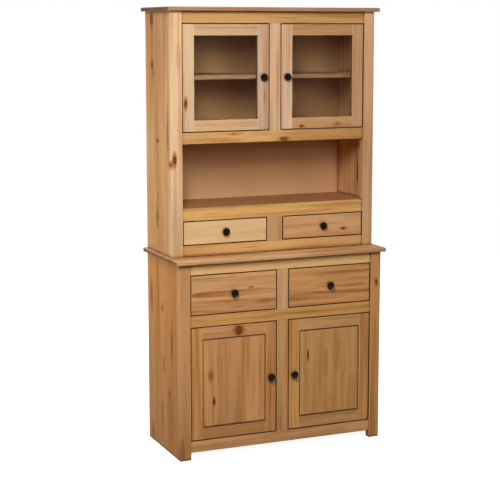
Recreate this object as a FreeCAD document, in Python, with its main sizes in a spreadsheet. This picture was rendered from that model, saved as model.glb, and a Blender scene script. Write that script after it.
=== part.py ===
"""Tall pine cupboard: a glazed upper unit with an open niche, standing on a base with drawers and doors.

Millimetres. X runs to the right, the front faces -Y, Z is up, and the origin is on the floor under
the middle of the overall box. Doors and drawers are built on the left and mirrored to the right.
"""
import FreeCAD, Part
import Sketcher
import math
import os
import re
from collections import namedtuple

# Driving dimensions: name, value in millimetres, meaning
SIZES = [
    ("width", 930, "overall width, across the tops"),
    ("depth", 405, "overall depth, across the base top"),
    ("overhang_side", 16, "tops past the sides"),
    ("overhang_front", 20, "tops past the posts"),
    ("overhang_back", 5, "tops past the backs"),
    ("upper_setback", 80, "upper posts behind the base posts"),
    ("top_thickness", 16, "both tops"),
    ("top_corner", 10, "front corners of the tops in plan"),
    ("top_round", 5, "rounding of the tops' upper edge"),
    ("top_ease", 3, "rounding of the tops' lower edge"),
    ("foot_clearance", 29, "floor to the lowest rail"),
    ("base_low_rail", 46, "height of the lowest rail"),
    ("base_door_opening", 466, "height of the panel door openings"),
    ("base_middle_rail", 46, "height of the rail between doors and drawers"),
    ("base_drawer_opening", 164, "height of the base drawer openings"),
    ("base_high_rail", 45, "height of the rail under the base top"),
    ("upper_low_rail", 45, "height of the rail under the upper drawers"),
    ("upper_drawer_opening", 99, "height of the upper drawer openings"),
    ("niche_rail_height", 49, "height of the rail under the niche"),
    ("niche_opening", 258, "height of the open niche"),
    ("upper_middle_rail", 45, "height of the rail under the glazed doors"),
    ("cabinet_opening", 429, "height of the glazed door openings"),
    ("upper_high_rail", 47, "height of the rail under the upper top"),
    ("base_mullion", 50, "width of the base mullions"),
    ("door_mullion", 48, "width of the mullion between the glazed doors"),
    ("drawer_mullion", 68, "width of the mullion between the upper drawers"),
    ("post_width", 48, "front posts, seen from the front"),
    ("post_round", 8, "rounding of the posts' outer edge"),
    ("edge_ease", 1.5, "softened edges of rails and posts"),
    ("face_setback", 4, "rails, doors and drawers behind the posts' face"),
    ("back_step", 4, "back of the rails behind the back of the doors"),
    ("side_thickness", 16, "side panels"),
    ("side_reveal", 0.8, "side panels behind the posts' outer face"),
    ("tongue_thickness", 6, "tongue of a side panel in its post"),
    ("tongue_length", 8, "length of that tongue"),
    ("glue_gap", 0.1, "room for glue in a joint"),
    ("tenon_thickness", 8, "tenons of rails and mullions"),
    ("tenon_length", 12, "length of those tenons"),
    ("tenon_shoulder", 6, "shoulder beside a tenon"),
    ("stop_lap", 8, "lap of a door mullion past its face, each side"),
    ("stop_thickness", 10, "thickness of that lap"),
    ("stop_gap", 0.3, "closed door to its stop"),
    ("board_thickness", 16, "floor, niche board and cabinet floor"),
    ("dado_depth", 6, "boards let into the sides"),
    ("shelf_thickness", 17, "cabinet shelf"),
    ("shelf_rise", 207, "cabinet floor to the underside of the shelf"),
    ("shelf_setback", 12, "front of the shelf behind the posts' back"),
    ("shelf_play", 0.3, "play at the ends and back of the shelf"),
    ("shelf_pin_radius", 2.5, "shelf pins"),
    ("shelf_pin_grip", 9, "shelf pin in the side"),
    ("shelf_pin_reach", 11, "shelf pin under the shelf"),
    ("shelf_pin_inset", 35, "shelf pins from the shelf's front and back"),
    ("back_thickness", 5, "back boards"),
    ("back_lap", 8, "rebate of the sides for the backs"),
    ("fit_gap", 4, "gap round doors and drawer fronts"),
    ("front_thickness", 20, "doors and drawer fronts"),
    ("front_ease", 1.6, "softened edges of doors and drawer fronts"),
    ("sash_stile", 48, "stiles of the glazed doors"),
    ("sash_rail", 44, "rails of the glazed doors"),
    ("rebate_width", 10, "glass rebate, across the frame"),
    ("lip_thickness", 9, "wood in front of the glass"),
    ("sash_tenon", 18, "length of the sash tenons"),
    ("sash_tenon_thickness", 6, "thickness of the sash tenons"),
    ("glass_thickness", 4, "panes"),
    ("glass_play", 1.5, "pane to the rebate's wall"),
    ("glass_bed", 0.2, "pane to the lip, and to the beads"),
    ("bead_play", 0.2, "beads to the rebate's wall"),
    ("bead_round", 2, "rounded edge of the beads"),
    ("door_stile", 46, "stiles of the panel doors"),
    ("door_rail", 46, "rails of the panel doors"),
    ("groove_width", 7, "panel groove"),
    ("groove_depth", 9, "depth of the panel groove"),
    ("panel_play", 0.3, "panel in its groove, each way"),
    ("field_margin", 6, "shadow line between frame and raised field"),
    ("field_drop", 1.2, "raised field behind the frame's face"),
    ("field_round", 2.5, "rounded edge of the raised field"),
    ("pivot_inset", 8, "pivot axis from the door's hinge edge"),
    ("pivot_depth", 6, "pivot axis behind the door's face"),
    ("pin_radius", 3, "pivot pins"),
    ("pin_grip", 14, "pivot pin in the rail, and in the door"),
    ("pin_play", 0.05, "pivot pin in its holes"),
    ("collar_radius", 5, "collar that carries the door"),
    ("collar_gap", 0.2, "collar to the door"),
    ("box_side", 12, "sides and back of a drawer box"),
    ("box_inset", 4, "drawer box from the ends of its front"),
    ("box_play", 1, "drawer box to its guides, each side"),
    ("box_housing", 6, "box let into the drawer front"),
    ("box_headroom", 12, "drawer box below the rail above it"),
    ("box_clearance", 15, "drawer box to the back board"),
    ("box_tail", 10, "box sides past the box back"),
    ("back_housing", 4, "box back let into the box sides"),
    ("slide_gap", 0.2, "drawer box above its runners"),
    ("bottom_thickness", 4, "drawer bottoms"),
    ("bottom_raise", 8, "drawer bottom above the box's lower edge"),
    ("bottom_groove", 6, "drawer bottom let into the box"),
    ("runner_ledge", 18, "runner's ledge under a drawer side"),
    ("runner_thickness", 18, "thickness of that ledge"),
    ("runner_guide", 14, "guide above the ledge"),
    ("knob_radius", 15, "knob head"),
    ("knob_length", 24, "knob, out of its board"),
    ("knob_head", 13, "thickness of the knob head"),
    ("knob_rim", 2.5, "straight rim of the knob head"),
    ("knob_neck", 5.5, "radius of the knob's neck"),
    ("knob_foot", 8.5, "radius of the knob's foot"),
    ("knob_foot_height", 3, "height of the knob's foot"),
    ("knob_ease", 1.2, "turned edges of the knob"),
    ("screw_radius", 2, "knob screw"),
    ("screw_play", 0.1, "knob screw in its hole"),
    ("screw_reach", 12, "knob screw inside the knob"),
    ("screw_head_radius", 4, "head of the knob screw"),
    ("screw_head_height", 2.4, "height of that head"),
    ("dowel_radius", 4, "dowels"),
    ("dowel_grip", 20, "dowel in a post or side"),
    ("dowel_seat", 9, "dowel in the top above it"),
    ("peg_seat", 5, "dowel of the upper unit in the base top"),
    ("base_dowel_inset", 60, "base side dowels from the panel's front and back"),
    ("upper_dowel_inset", 40, "upper side dowels from the panel's front and back"),
]

# Sizes that follow from the driving dimensions
DERIVED = {
    "body_half": "width / 2 - overhang_side",
    "base_front": "overhang_front - depth / 2",
    "upper_front": "base_front + upper_setback",
    "body_back": "depth / 2 - overhang_back",
    "base_depth": "body_back - base_front",
    "upper_depth": "body_back - upper_front",
    "upper_top_depth": "upper_depth + overhang_front + overhang_back",
    "inner_half": "body_half - post_width",
    "side_outer": "body_half - side_reveal",
    "side_inner": "side_outer - side_thickness",
    "rail_thickness": "front_thickness + back_step",
    "post_depth": "face_setback + rail_thickness",
    "stop_face": "front_thickness + stop_gap",
    "door_floor": "foot_clearance + base_low_rail",
    "base_door_head": "door_floor + base_door_opening",
    "base_drawer_floor": "base_door_head + base_middle_rail",
    "base_drawer_head": "base_drawer_floor + base_drawer_opening",
    "base_body": "base_drawer_head + base_high_rail",
    "base_height": "base_body + top_thickness",
    "upper_drawer_floor": "base_height + upper_low_rail",
    "upper_drawer_head": "upper_drawer_floor + upper_drawer_opening",
    "niche_floor": "upper_drawer_head + niche_rail_height",
    "niche_head": "niche_floor + niche_opening",
    "cabinet_level": "niche_head + upper_middle_rail",
    "cabinet_head": "cabinet_level + cabinet_opening",
    "upper_roof": "cabinet_head + upper_high_rail",
    "upper_body": "upper_roof - base_height",
    "shelf_under": "cabinet_level + shelf_rise",
    "shelf_front": "post_depth + shelf_setback",
    "shelf_back": "upper_depth - back_thickness - shelf_play",
    "base_front_width": "inner_half - base_mullion / 2 - 2 * fit_gap",
    "upper_drawer_width": "inner_half - drawer_mullion / 2 - 2 * fit_gap",
    "sash_width": "inner_half - door_mullion / 2 - 2 * fit_gap",
    "sash_height": "cabinet_opening - 2 * fit_gap",
    "panel_door_height": "base_door_opening - 2 * fit_gap",
    "rebate_wall": "sash_stile - rebate_width",
    "rebate_sill": "sash_rail - rebate_width",
    "sash_tenon_face": "(lip_thickness + front_thickness - sash_tenon_thickness) / 2",
    "bead_face": "lip_thickness + glass_thickness + 2 * glass_bed",
    "groove_face": "(front_thickness - groove_width) / 2",
    "groove_back": "groove_face + groove_width",
    "seat_radius": "pin_radius + pin_play",
    "collar_height": "fit_gap - collar_gap",
    "screw_hole": "screw_radius + screw_play",
    "dowel_hole": "dowel_radius + glue_gap",
    "box_front": "front_thickness - box_housing + glue_gap",
    "box_low": "slide_gap - fit_gap",
    "box_wall": "box_inset + box_side",
    "bottom_low": "box_low + bottom_raise",
    "bottom_high": "bottom_low + bottom_thickness",
    "knob_under": "knob_length - knob_head",
}

Unit = namedtuple("Unit", "name front deep level tall dowel_inset")
BASE = Unit("base", "base_front", "base_depth", "0", "base_body", "base_dowel_inset")
UPPER = Unit("upper", "upper_front", "upper_depth", "base_height", "upper_body", "upper_dowel_inset")

Door = namedtuple("Door", "name unit level wide tall stile rail")
SASH = Door("glass_door", UPPER, "cabinet_level", "sash_width", "sash_height", "sash_stile", "sash_rail")
PANEL_DOOR = Door("panel_door", BASE, "door_floor", "base_front_width", "panel_door_height",
                  "door_stile", "door_rail")

Drawer = namedtuple("Drawer", "name unit level wide opening mullion")
BASE_DRAWER = Drawer("base_drawer", BASE, "base_drawer_floor", "base_front_width",
                     "base_drawer_opening", "base_mullion")
UPPER_DRAWER = Drawer("upper_drawer", UPPER, "upper_drawer_floor", "upper_drawer_width",
                      "upper_drawer_opening", "drawer_mullion")

TOUCH = 1e-4
QUARTER_TURN = 90
FULL_TURN = 360


def formula(text):
    """Write a size formula out in the sheet's cells."""
    def spell(match):
        word = match.group(0)
        if word in DERIVED:
            return f"({formula(DERIVED[word])})"
        return f"dims.{word}"
    return re.sub(r"[a-z][a-z_]*", spell, text)


def value(text):
    """Give the present value of a size formula."""
    return float(sheet.evalExpression(formula(text)))


def minus(text):
    """Turn a size formula's sign."""
    return f"-({text})"


def bind(thing, field, text):
    """Tie one property to a size formula."""
    thing.setExpression(field, formula(text))


def place(thing, x="0", y="0", z="0"):
    """Tie a piece's place to size formulas."""
    for axis, text in zip("xyz", (x, y, z)):
        bind(thing, f"Placement.Base.{axis}", text)
    return thing


def new_body(name):
    """Start a body for one piece of wood, metal or glass."""
    return doc.addObject("PartDesign::Body", name)


def new_sketch(body, plane, offset):
    """Add a sketch on one of the body's own planes, moved along that plane's normal."""
    sketch = body.newObject("Sketcher::SketchObject", body.Name + "_sketch")
    support = next(item for item in body.Origin.OriginFeatures if item.Role == plane)
    sketch.AttachmentSupport = [(support, "")]
    sketch.MapMode = "FlatFace"
    bind(sketch, "AttachmentOffset.Base.z", offset)
    return sketch


def tie_point(sketch, geometry, end, spot):
    """Tie one point of a sketch to its place."""
    for kind, text in zip(("DistanceX", "DistanceY"), spot):
        index = sketch.addConstraint(Sketcher.Constraint(kind, -1, 1, geometry, end, value(text)))
        bind(sketch, f"Constraints[{index}]", text)


def flat(spot):
    """Give the present place of a sketch point."""
    return FreeCAD.Vector(value(spot[0]), value(spot[1]), 0)


def outline(body, plane, corners, offset="0"):
    """Sketch a closed outline with straight edges through its corners."""
    sketch = new_sketch(body, plane, offset)
    spots = [flat(corner) for corner in corners]
    following = spots[1:] + spots[:1]
    for here, there in zip(spots, following):
        sketch.addGeometry(Part.LineSegment(here, there), False)
    for index, corner in enumerate(corners):
        after = (index + 1) % len(corners)
        sketch.addConstraint(Sketcher.Constraint("Coincident", index, 2, after, 1))
        tie_point(sketch, index, 1, corner)
    return sketch


def rectangle(low, high):
    """List the corners of a rectangle from its lowest and highest corner."""
    return [low, (high[0], low[1]), high, (low[0], high[1])]


def circles(body, plane, centres, radius, offset="0"):
    """Sketch equal circles, one for each hole."""
    sketch = new_sketch(body, plane, offset)
    for centre in centres:
        ring = Part.Circle(flat(centre), FreeCAD.Vector(0, 0, 1), value(radius))
        index = sketch.addGeometry(ring, False)
        tie_point(sketch, index, 3, centre)
        size = sketch.addConstraint(Sketcher.Constraint("Radius", index, value(radius)))
        bind(sketch, f"Constraints[{size}]", radius)
    return sketch


def pad(body, sketch, length, backward=False):
    """Raise a sketch into a solid along its plane's normal, or against it."""
    feature = body.newObject("PartDesign::Pad", body.Name + "_pad")
    feature.Profile = sketch
    feature.Reversed = backward
    bind(feature, "Length", length)
    doc.recompute()


def pocket(body, sketch, depth, along=False):
    """Cut a sketch into a solid against its plane's normal, or along it, and see that it cuts."""
    before = body.Shape.Volume
    feature = body.newObject("PartDesign::Pocket", body.Name + "_pocket")
    feature.Profile = sketch
    feature.Reversed = along
    bind(feature, "Length", depth)
    doc.recompute()
    if feature.Shape.Volume > before - TOUCH:
        raise RuntimeError(body.Name + ": a pocket cuts nothing")


def bore(body, centres, radius, depth, level, upward):
    """Bore upright holes from a level."""
    pocket(body, circles(body, "XY_Plane", centres, radius, level), depth, along=upward)


def revolve(body, sketch):
    """Turn a sketch about its vertical axis."""
    feature = body.newObject("PartDesign::Revolution", body.Name + "_turned")
    feature.Profile = sketch
    feature.ReferenceAxis = (sketch, ["V_Axis"])
    feature.Angle = FULL_TURN
    doc.recompute()


def soften(body, radius, *tests):
    """Round the edges of the body's last feature that any of the tests picks out."""
    base = body.Tip
    edges = enumerate(base.Shape.Edges, 1)
    names = [f"Edge{index}" for index, edge in edges if any(test(edge) for test in tests)]
    feature = body.newObject("PartDesign::Fillet", body.Name + "_softened")
    feature.Base = (base, names)
    bind(feature, "Radius", radius)
    doc.recompute()


def edge_at(**places):
    """Make a test for open edges that lie at one of the given places along each named axis."""
    spots = {axis: [value(text) for text in texts] for axis, texts in places.items()}

    def holds(edge, axis, spot):
        return all(abs(getattr(vertex.Point, axis) - spot) < TOUCH for vertex in edge.Vertexes)

    def test(edge):
        if edge.isClosed():
            return False
        return all(any(holds(edge, axis, spot) for spot in found) for axis, found in spots.items())
    return test


def ring_at(radius, level):
    """Make a test for the circular edges of a knob: their radius, and how far along Y they lie."""
    def test(edge):
        if edge.Degenerated or not edge.isClosed():
            return False
        same_size = abs(edge.Curve.Radius - value(radius)) < TOUCH
        return same_size and abs(edge.Curve.Center.y - value(level)) < TOUCH
    return test


def mirrored(source, name, axis="x", at="0"):
    """Mirror a piece across a plane square to one axis."""
    copy = doc.addObject("Part::Mirroring", name)
    copy.Source = source
    copy.Normal = FreeCAD.Vector(*(float(axis == letter) for letter in "xyz"))
    bind(copy, f"Base.{axis}", at)
    return copy


def group(name, pieces):
    """Keep separate solids together under one name."""
    together = doc.addObject("Part::Compound", name)
    together.Links = pieces
    return together


def node(name, thing):
    """Name a finished piece of the cupboard."""
    thing.Label = name
    nodes[name] = thing


def pair(name, thing):
    """Name a finished left-hand piece and its mirrored copy on the right."""
    node("left_" + name, thing)
    node("right_" + name, mirrored(thing, "right_" + name))


def board(name, low, high):
    """Make a plain board between two corners."""
    box = doc.addObject("Part::Box", name)
    for field, start, end in zip(("Length", "Width", "Height"), low, high):
        bind(box, field, f"{end} - ({start})")
    return place(box, *low)


def both_sides(spots):
    """Add the mirrored place of each spot on the right-hand side."""
    return spots + [(minus(across), along) for across, along in spots]


def dowel_spots(unit):
    """List a unit's dowels in plan: one in each post and two in each side panel."""
    post = ("post_width / 2 - body_half", f"{unit.front} + post_depth / 2")
    middle = "side_thickness / 2 - side_outer"
    first = f"{unit.front} + post_depth + {unit.dowel_inset}"
    last = f"body_back - {unit.dowel_inset}"
    return both_sides([post, (middle, first), (middle, last)])


def make_top(name, deep, level, dowels, pegs=()):
    """Top board: bored for dowels, rounded in plan at the front, softened on three sides."""
    body = new_body(name + "_board")
    half = "width / 2"
    front = f"depth / 2 - {deep}"
    plan = rectangle((minus(half), front), (half, "depth / 2"))
    pad(body, outline(body, "XY_Plane", plan), "top_thickness")
    bore(body, dowels, "dowel_hole", "dowel_seat + glue_gap", "0", True)
    if pegs:
        bore(body, pegs, "dowel_hole", "peg_seat + glue_gap", "top_thickness", False)
    soften(body, "top_corner", edge_at(x=[minus(half), half], y=[front]))
    back_line = value("depth / 2")

    def rim(level):
        lies = edge_at(z=[level])
        return lambda edge: lies(edge) and edge.CenterOfMass.y < back_line - TOUCH
    soften(body, "top_round", rim("top_thickness"))
    soften(body, "top_ease", rim("0"))
    node(name, place(body, z=level))


def make_sides(unit, boards):
    """Side panels: tongued in front, rebated behind, with dados for the boards that they carry."""
    name = unit.name + "_sides"
    body = new_body(name + "_left")
    tongue_near = "(side_thickness - tongue_thickness) / 2"
    tongue_far = "(side_thickness + tongue_thickness) / 2"
    end = f"{unit.deep} - post_depth"
    rebate = f"{end} - back_thickness"
    rebate_bed = "side_thickness - back_lap"
    plan = [
        ("0", "0"), (tongue_near, "0"), (tongue_near, "-tongue_length"), (tongue_far, "-tongue_length"),
        (tongue_far, "0"), ("side_thickness", "0"), ("side_thickness", rebate), (rebate_bed, rebate),
        (rebate_bed, end), ("0", end),
    ]
    pad(body, outline(body, "XY_Plane", plan), unit.tall)
    for level in boards:
        under = f"{level} - {unit.level} - board_thickness - glue_gap"
        dado = rectangle(("side_thickness - dado_depth - glue_gap", under),
                         ("side_thickness + dado_depth", f"{level} - {unit.level} + glue_gap"))
        pocket(body, outline(body, "XZ_Plane", dado), rebate)
    middle = "side_thickness / 2"
    holes = [(middle, unit.dowel_inset), (middle, f"{end} - {unit.dowel_inset}")]
    bore(body, holes, "dowel_hole", "dowel_grip + glue_gap", unit.tall, False)
    if unit is UPPER:
        bore(body, holes, "dowel_hole", "dowel_grip + glue_gap", "0", True)
        rest = "shelf_under - shelf_pin_radius - base_height"
        pins = [(f"{spot} - post_depth", rest) for spot in shelf_pin_places()]
        sockets = circles(body, "YZ_Plane", pins, "shelf_pin_radius + glue_gap", "side_thickness")
        pocket(body, sockets, "shelf_pin_grip + glue_gap")
    place(body, x=minus("side_outer"), y=f"{unit.front} + post_depth", z=unit.level)
    node(name, group(name, [body, mirrored(body, name + "_right")]))


def make_posts(unit, rails):
    """Front posts: rounded outside, grooved behind for the sides, mortised for the rails."""
    name = unit.name + "_posts"
    body = new_body(name + "_left")
    near = "side_reveal + (side_thickness - tongue_thickness) / 2 - glue_gap"
    far = "side_reveal + (side_thickness + tongue_thickness) / 2 + glue_gap"
    bed = "post_depth - tongue_length - glue_gap"
    plan = [
        ("0", "0"), ("post_width", "0"), ("post_width", "post_depth"), (far, "post_depth"),
        (far, bed), (near, bed), (near, "post_depth"), ("0", "post_depth"),
    ]
    pad(body, outline(body, "XY_Plane", plan), unit.tall)
    soften(body, "post_round", edge_at(x=["0"], y=["0"]))
    soften(body, "edge_ease", edge_at(x=["post_width"], y=["0"]))
    tenon_face = "face_setback + (rail_thickness - tenon_thickness) / 2 - glue_gap"
    tenon_back = "face_setback + (rail_thickness + tenon_thickness) / 2 + glue_gap"
    for level, rail in rails:
        foot = f"{level} - {unit.level}"
        mortise = rectangle((tenon_face, f"{foot} + tenon_shoulder - glue_gap"),
                            (tenon_back, f"{foot} + {rail} - tenon_shoulder + glue_gap"))
        pocket(body, outline(body, "YZ_Plane", mortise, "post_width"), "tenon_length + glue_gap")
    middle = [("post_width / 2", "post_depth / 2")]
    bore(body, middle, "dowel_hole", "dowel_grip + glue_gap", unit.tall, False)
    if unit is UPPER:
        bore(body, middle, "dowel_hole", "dowel_grip + glue_gap", "0", True)
    place(body, x=minus("body_half"), y=unit.front, z=unit.level)
    node(name, group(name, [body, mirrored(body, name + "_right")]))


def make_rail(name, unit, level, tall, over=None, under=None, pivot_over=False, pivot_under=False):
    """Rail between the posts: tenoned, mortised for mullions, bored for the doors' pivot pins."""
    body = new_body(name + "_board")
    section = rectangle(("0", "0"), ("rail_thickness", tall))
    pad(body, outline(body, "YZ_Plane", section, "-inner_half"), "2 * inner_half")
    soften(body, "edge_ease", edge_at(y=["0"], z=["0", tall]))
    face = "(rail_thickness - tenon_thickness) / 2"
    back = "(rail_thickness + tenon_thickness) / 2"
    tenon = rectangle((face, "tenon_shoulder"), (back, f"{tall} - tenon_shoulder"))
    start = "-inner_half - tenon_length"
    pad(body, outline(body, "YZ_Plane", tenon, start), "2 * (inner_half + tenon_length)")
    pins = both_sides([("fit_gap + pivot_inset - inner_half", "pivot_depth")])
    for mullion, pivots, height, upward in ((over, pivot_over, tall, False), (under, pivot_under, "0", True)):
        if mullion:
            reach = f"{mullion} / 2 - tenon_shoulder + glue_gap"
            slot = rectangle((minus(reach), f"{face} - glue_gap"), (reach, f"{back} + glue_gap"))
            pocket(body, outline(body, "XY_Plane", slot, height), "tenon_length + glue_gap", along=upward)
        if pivots:
            bore(body, pins, "seat_radius", "pin_grip + glue_gap", height, upward)
    node(name, place(body, y=f"{unit.front} + face_setback", z=level))


def make_mullion(name, unit, level, wide, tall, stops):
    """Upright between two rails, with a lap behind the doors where it stops them."""
    body = new_body(name)
    half = f"{wide} / 2"
    plan = rectangle((minus(half), "0"), (half, "rail_thickness"))
    if stops:
        lap = f"{wide} / 2 + stop_lap"
        back = "stop_face + stop_thickness"
        right = [(half, "0"), (half, "stop_face"), (lap, "stop_face"), (lap, back)]
        plan = right + [(minus(across), along) for across, along in reversed(right)]
    pad(body, outline(body, "XY_Plane", plan), tall)
    soften(body, "edge_ease", edge_at(x=[minus(half), half], y=["0"]))
    reach = f"{wide} / 2 - tenon_shoulder"
    tenon = rectangle((minus(reach), "(rail_thickness - tenon_thickness) / 2"),
                      (reach, "(rail_thickness + tenon_thickness) / 2"))
    pad(body, outline(body, "XY_Plane", tenon, "-tenon_length"), f"{tall} + 2 * tenon_length")
    return place(body, y=f"{unit.front} + face_setback", z=level)


def make_frames():
    """Tops, sides, posts, rails and mullions of both units."""
    make_top("base_top", "depth", "base_body", dowel_spots(BASE), dowel_spots(UPPER))
    make_top("upper_top", "upper_top_depth", "upper_roof", dowel_spots(UPPER))
    make_sides(BASE, ["door_floor"])
    make_sides(UPPER, ["niche_floor", "cabinet_level"])
    base_rails = [("foot_clearance", "base_low_rail"), ("base_door_head", "base_middle_rail"),
                  ("base_drawer_head", "base_high_rail")]
    upper_rails = [("base_height", "upper_low_rail"), ("upper_drawer_head", "niche_rail_height"),
                   ("niche_head", "upper_middle_rail"), ("cabinet_head", "upper_high_rail")]
    make_posts(BASE, base_rails)
    make_posts(UPPER, upper_rails)

    low, middle, high = base_rails
    make_rail("base_bottom_rail", BASE, *low, over="base_mullion", pivot_over=True)
    make_rail("base_mid_rail", BASE, *middle, over="base_mullion", under="base_mullion", pivot_under=True)
    make_rail("base_top_rail", BASE, *high, under="base_mullion")
    low, niche, middle, high = upper_rails
    make_rail("upper_bottom_rail", UPPER, *low, over="drawer_mullion")
    make_rail("niche_rail", UPPER, *niche, under="drawer_mullion")
    make_rail("upper_door_rail", UPPER, *middle, over="door_mullion", pivot_over=True)
    make_rail("upper_top_rail", UPPER, *high, under="door_mullion", pivot_under=True)

    node("base_mullions", group("base_mullions", [
        make_mullion("base_door_mullion", BASE, "door_floor", "base_mullion", "base_door_opening", True),
        make_mullion("base_drawer_mullion", BASE, "base_drawer_floor", "base_mullion",
                     "base_drawer_opening", False)]))
    node("upper_mullions", group("upper_mullions", [
        make_mullion("upper_door_mullion", UPPER, "cabinet_level", "door_mullion", "cabinet_opening", True),
        make_mullion("upper_drawer_mullion", UPPER, "upper_drawer_floor", "drawer_mullion",
                     "upper_drawer_opening", False)]))


def make_boards():
    """Floor, niche board, cabinet floor, shelf and backs."""
    reach = "side_inner + dado_depth"
    back_face = "body_back - back_thickness"
    for name, unit, level in (("base_floor", BASE, "door_floor"), ("niche_board", UPPER, "niche_floor"),
                              ("cabinet_floor", UPPER, "cabinet_level")):
        low = (minus(reach), f"{unit.front} + post_depth", f"{level} - board_thickness")
        node(name, board(name, low, (reach, back_face, level)))

    shelf = new_body("cabinet_shelf_board")
    half = "side_inner - shelf_play"
    plan = rectangle((minus(half), "shelf_front"), (half, "shelf_back"))
    pad(shelf, outline(shelf, "XY_Plane", plan), "shelf_thickness")
    soften(shelf, "edge_ease", edge_at(y=["shelf_front"], z=["0", "shelf_thickness"]))
    node("cabinet_shelf", place(shelf, y="upper_front", z="shelf_under"))

    reach = "side_inner + back_lap - glue_gap"
    for name, low, high in (("base_back", "door_floor - board_thickness", "base_body"),
                            ("upper_back", "base_height", "upper_roof")):
        node(name, board(name, (minus(reach), back_face, low), (reach, "body_back", high)))


def make_runners(drawer):
    """Stepped runners beside the side panels, and a shared one between two drawers."""
    unit = drawer.unit
    guide = "inner_half - fit_gap - box_inset + box_play"
    ledge = f"{guide} - runner_ledge"
    side = [(minus("side_inner"), "-runner_thickness"), (minus(ledge), "-runner_thickness"),
            (minus(ledge), "0"), (minus(guide), "0"), (minus(guide), "runner_guide"),
            (minus("side_inner"), "runner_guide")]
    tongue = f"{drawer.mullion} / 2 + fit_gap + box_inset - box_play"
    reach = f"{tongue} + runner_ledge"
    right = [(reach, "-runner_thickness"), (reach, "0"), (tongue, "0"), (tongue, "runner_guide")]
    shared = right + [(minus(across), along) for across, along in reversed(right)]
    runners = []
    for name, section in (("left", side), ("middle", shared)):
        body = new_body(f"{drawer.name}_runner_{name}")
        length = f"{unit.deep} - post_depth - back_thickness"
        pad(body, outline(body, "XZ_Plane", section), length, backward=True)
        runners.append(place(body, y=f"{unit.front} + post_depth", z=drawer.level))
    return runners + [mirrored(runners[0], f"{drawer.name}_runner_right")]


def make_dowels():
    """Dowels that join the tops to the units below them and the upper unit to the base."""
    dowels = []
    for unit, low, high in (
            (BASE, "base_body - dowel_grip", "base_body + dowel_seat"),
            (UPPER, "base_height - peg_seat", "base_height + dowel_grip"),
            (UPPER, "upper_roof - dowel_grip", "upper_roof + dowel_seat")):
        for across, along in dowel_spots(unit):
            dowel = doc.addObject("Part::Cylinder", "dowel")
            bind(dowel, "Radius", "dowel_radius")
            bind(dowel, "Height", f"{high} - ({low})")
            dowels.append(place(dowel, across, along, low))
    node("joint_dowels", group("joint_dowels", dowels))


def shelf_pin_places():
    """List how far the shelf pins stand behind the posts' face."""
    return ["shelf_front + shelf_pin_inset", "shelf_back - shelf_pin_inset"]


def make_shelf_pins():
    """Pins in the side panels, under the cabinet shelf."""
    pins = []
    for spot in shelf_pin_places():
        pin = doc.addObject("Part::Cylinder", "shelf_pin")
        bind(pin, "Radius", "shelf_pin_radius")
        bind(pin, "Height", "shelf_pin_grip + shelf_pin_reach")
        pin.Placement.Rotation = FreeCAD.Rotation(FreeCAD.Vector(0, 1, 0), QUARTER_TURN)
        start = "-(side_inner + shelf_pin_grip)"
        place(pin, start, f"upper_front + {spot}", "shelf_under - shelf_pin_radius")
        pins += [pin, mirrored(pin, "shelf_pin_right")]
    node("shelf_pins", group("shelf_pins", pins))


def make_pivot_pins():
    """Collared steel pins, fixed in the rails, on which the doors turn."""
    tip = "fit_gap + pin_grip"
    section = [("0", "-pin_grip"), ("pin_radius", "-pin_grip"), ("pin_radius", "0"),
               ("collar_radius", "0"), ("collar_radius", "collar_height"),
               ("pin_radius", "collar_height"), ("pin_radius", tip), ("0", tip)]
    pins = []
    for door in (PANEL_DOOR, SASH):
        low = new_body(door.name + "_pivot")
        revolve(low, outline(low, "XZ_Plane", section))
        place(low, "fit_gap + pivot_inset - inner_half",
              f"{door.unit.front} + face_setback + pivot_depth", door.level)
        high = mirrored(low, door.name + "_pivot_high", "z", f"{door.level} + fit_gap + {door.tall} / 2")
        pins += [low, high]
    pins += [mirrored(pin, pin.Name + "_right") for pin in pins]
    node("pivot_pins", group("pivot_pins", pins))


def hang(thing, door):
    """Set a piece of a left-hand door, built from the door's lower hinge corner, into its opening."""
    return place(thing, "fit_gap - inner_half", f"{door.unit.front} + face_setback", f"{door.level} + fit_gap")


def twin(thing, name, axis, door):
    """Mirror a piece of a left-hand door across the door's own middle."""
    middle = {"x": f"fit_gap - inner_half + {door.wide} / 2", "z": f"{door.level} + fit_gap + {door.tall} / 2"}
    return mirrored(thing, name, axis, middle[axis])


def make_stile(door, section, hinged):
    """Upright of a door, bored for the pivot pins on the hinge side, for the knob on the other."""
    body = new_body(door.name + ("_hinge_stile" if hinged else "_lock_stile"))

    def across(text):
        return text if hinged else f"{door.wide} - ({text})"
    plan = [(across(x), y) for x, y in section]
    pad(body, outline(body, "XY_Plane", plan), door.tall)
    soften(body, "front_ease", edge_at(x=[across("0")], y=["0"]), edge_at(y=["0"], z=["0", door.tall]))
    if hinged:
        pivot = [("pivot_inset", "pivot_depth")]
        for level, upward in (("0", True), (door.tall, False)):
            bore(body, pivot, "seat_radius", "pin_grip + glue_gap", level, upward)
    else:
        middle = [(across(f"{door.stile} / 2"), f"{door.tall} / 2")]
        pocket(body, circles(body, "XZ_Plane", middle, "screw_hole"), "front_thickness")
    return hang(body, door)


def cut_sash_mortises(stile, hinged):
    """Mortise a sash stile, from the wall of its rebate, for the tenons of both rails."""
    wall = "rebate_wall" if hinged else "sash_width - rebate_wall"
    near = "sash_tenon_face - glue_gap"
    far = "sash_tenon_face + sash_tenon_thickness + glue_gap"
    low = "tenon_shoulder - glue_gap"
    high = "rebate_sill - tenon_shoulder + glue_gap"
    for start, end in ((low, high), (f"sash_height - ({high})", f"sash_height - ({low})")):
        slot = outline(stile, "YZ_Plane", rectangle((near, start), (far, end)), wall)
        pocket(stile, slot, "sash_tenon + glue_gap", along=not hinged)


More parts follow.
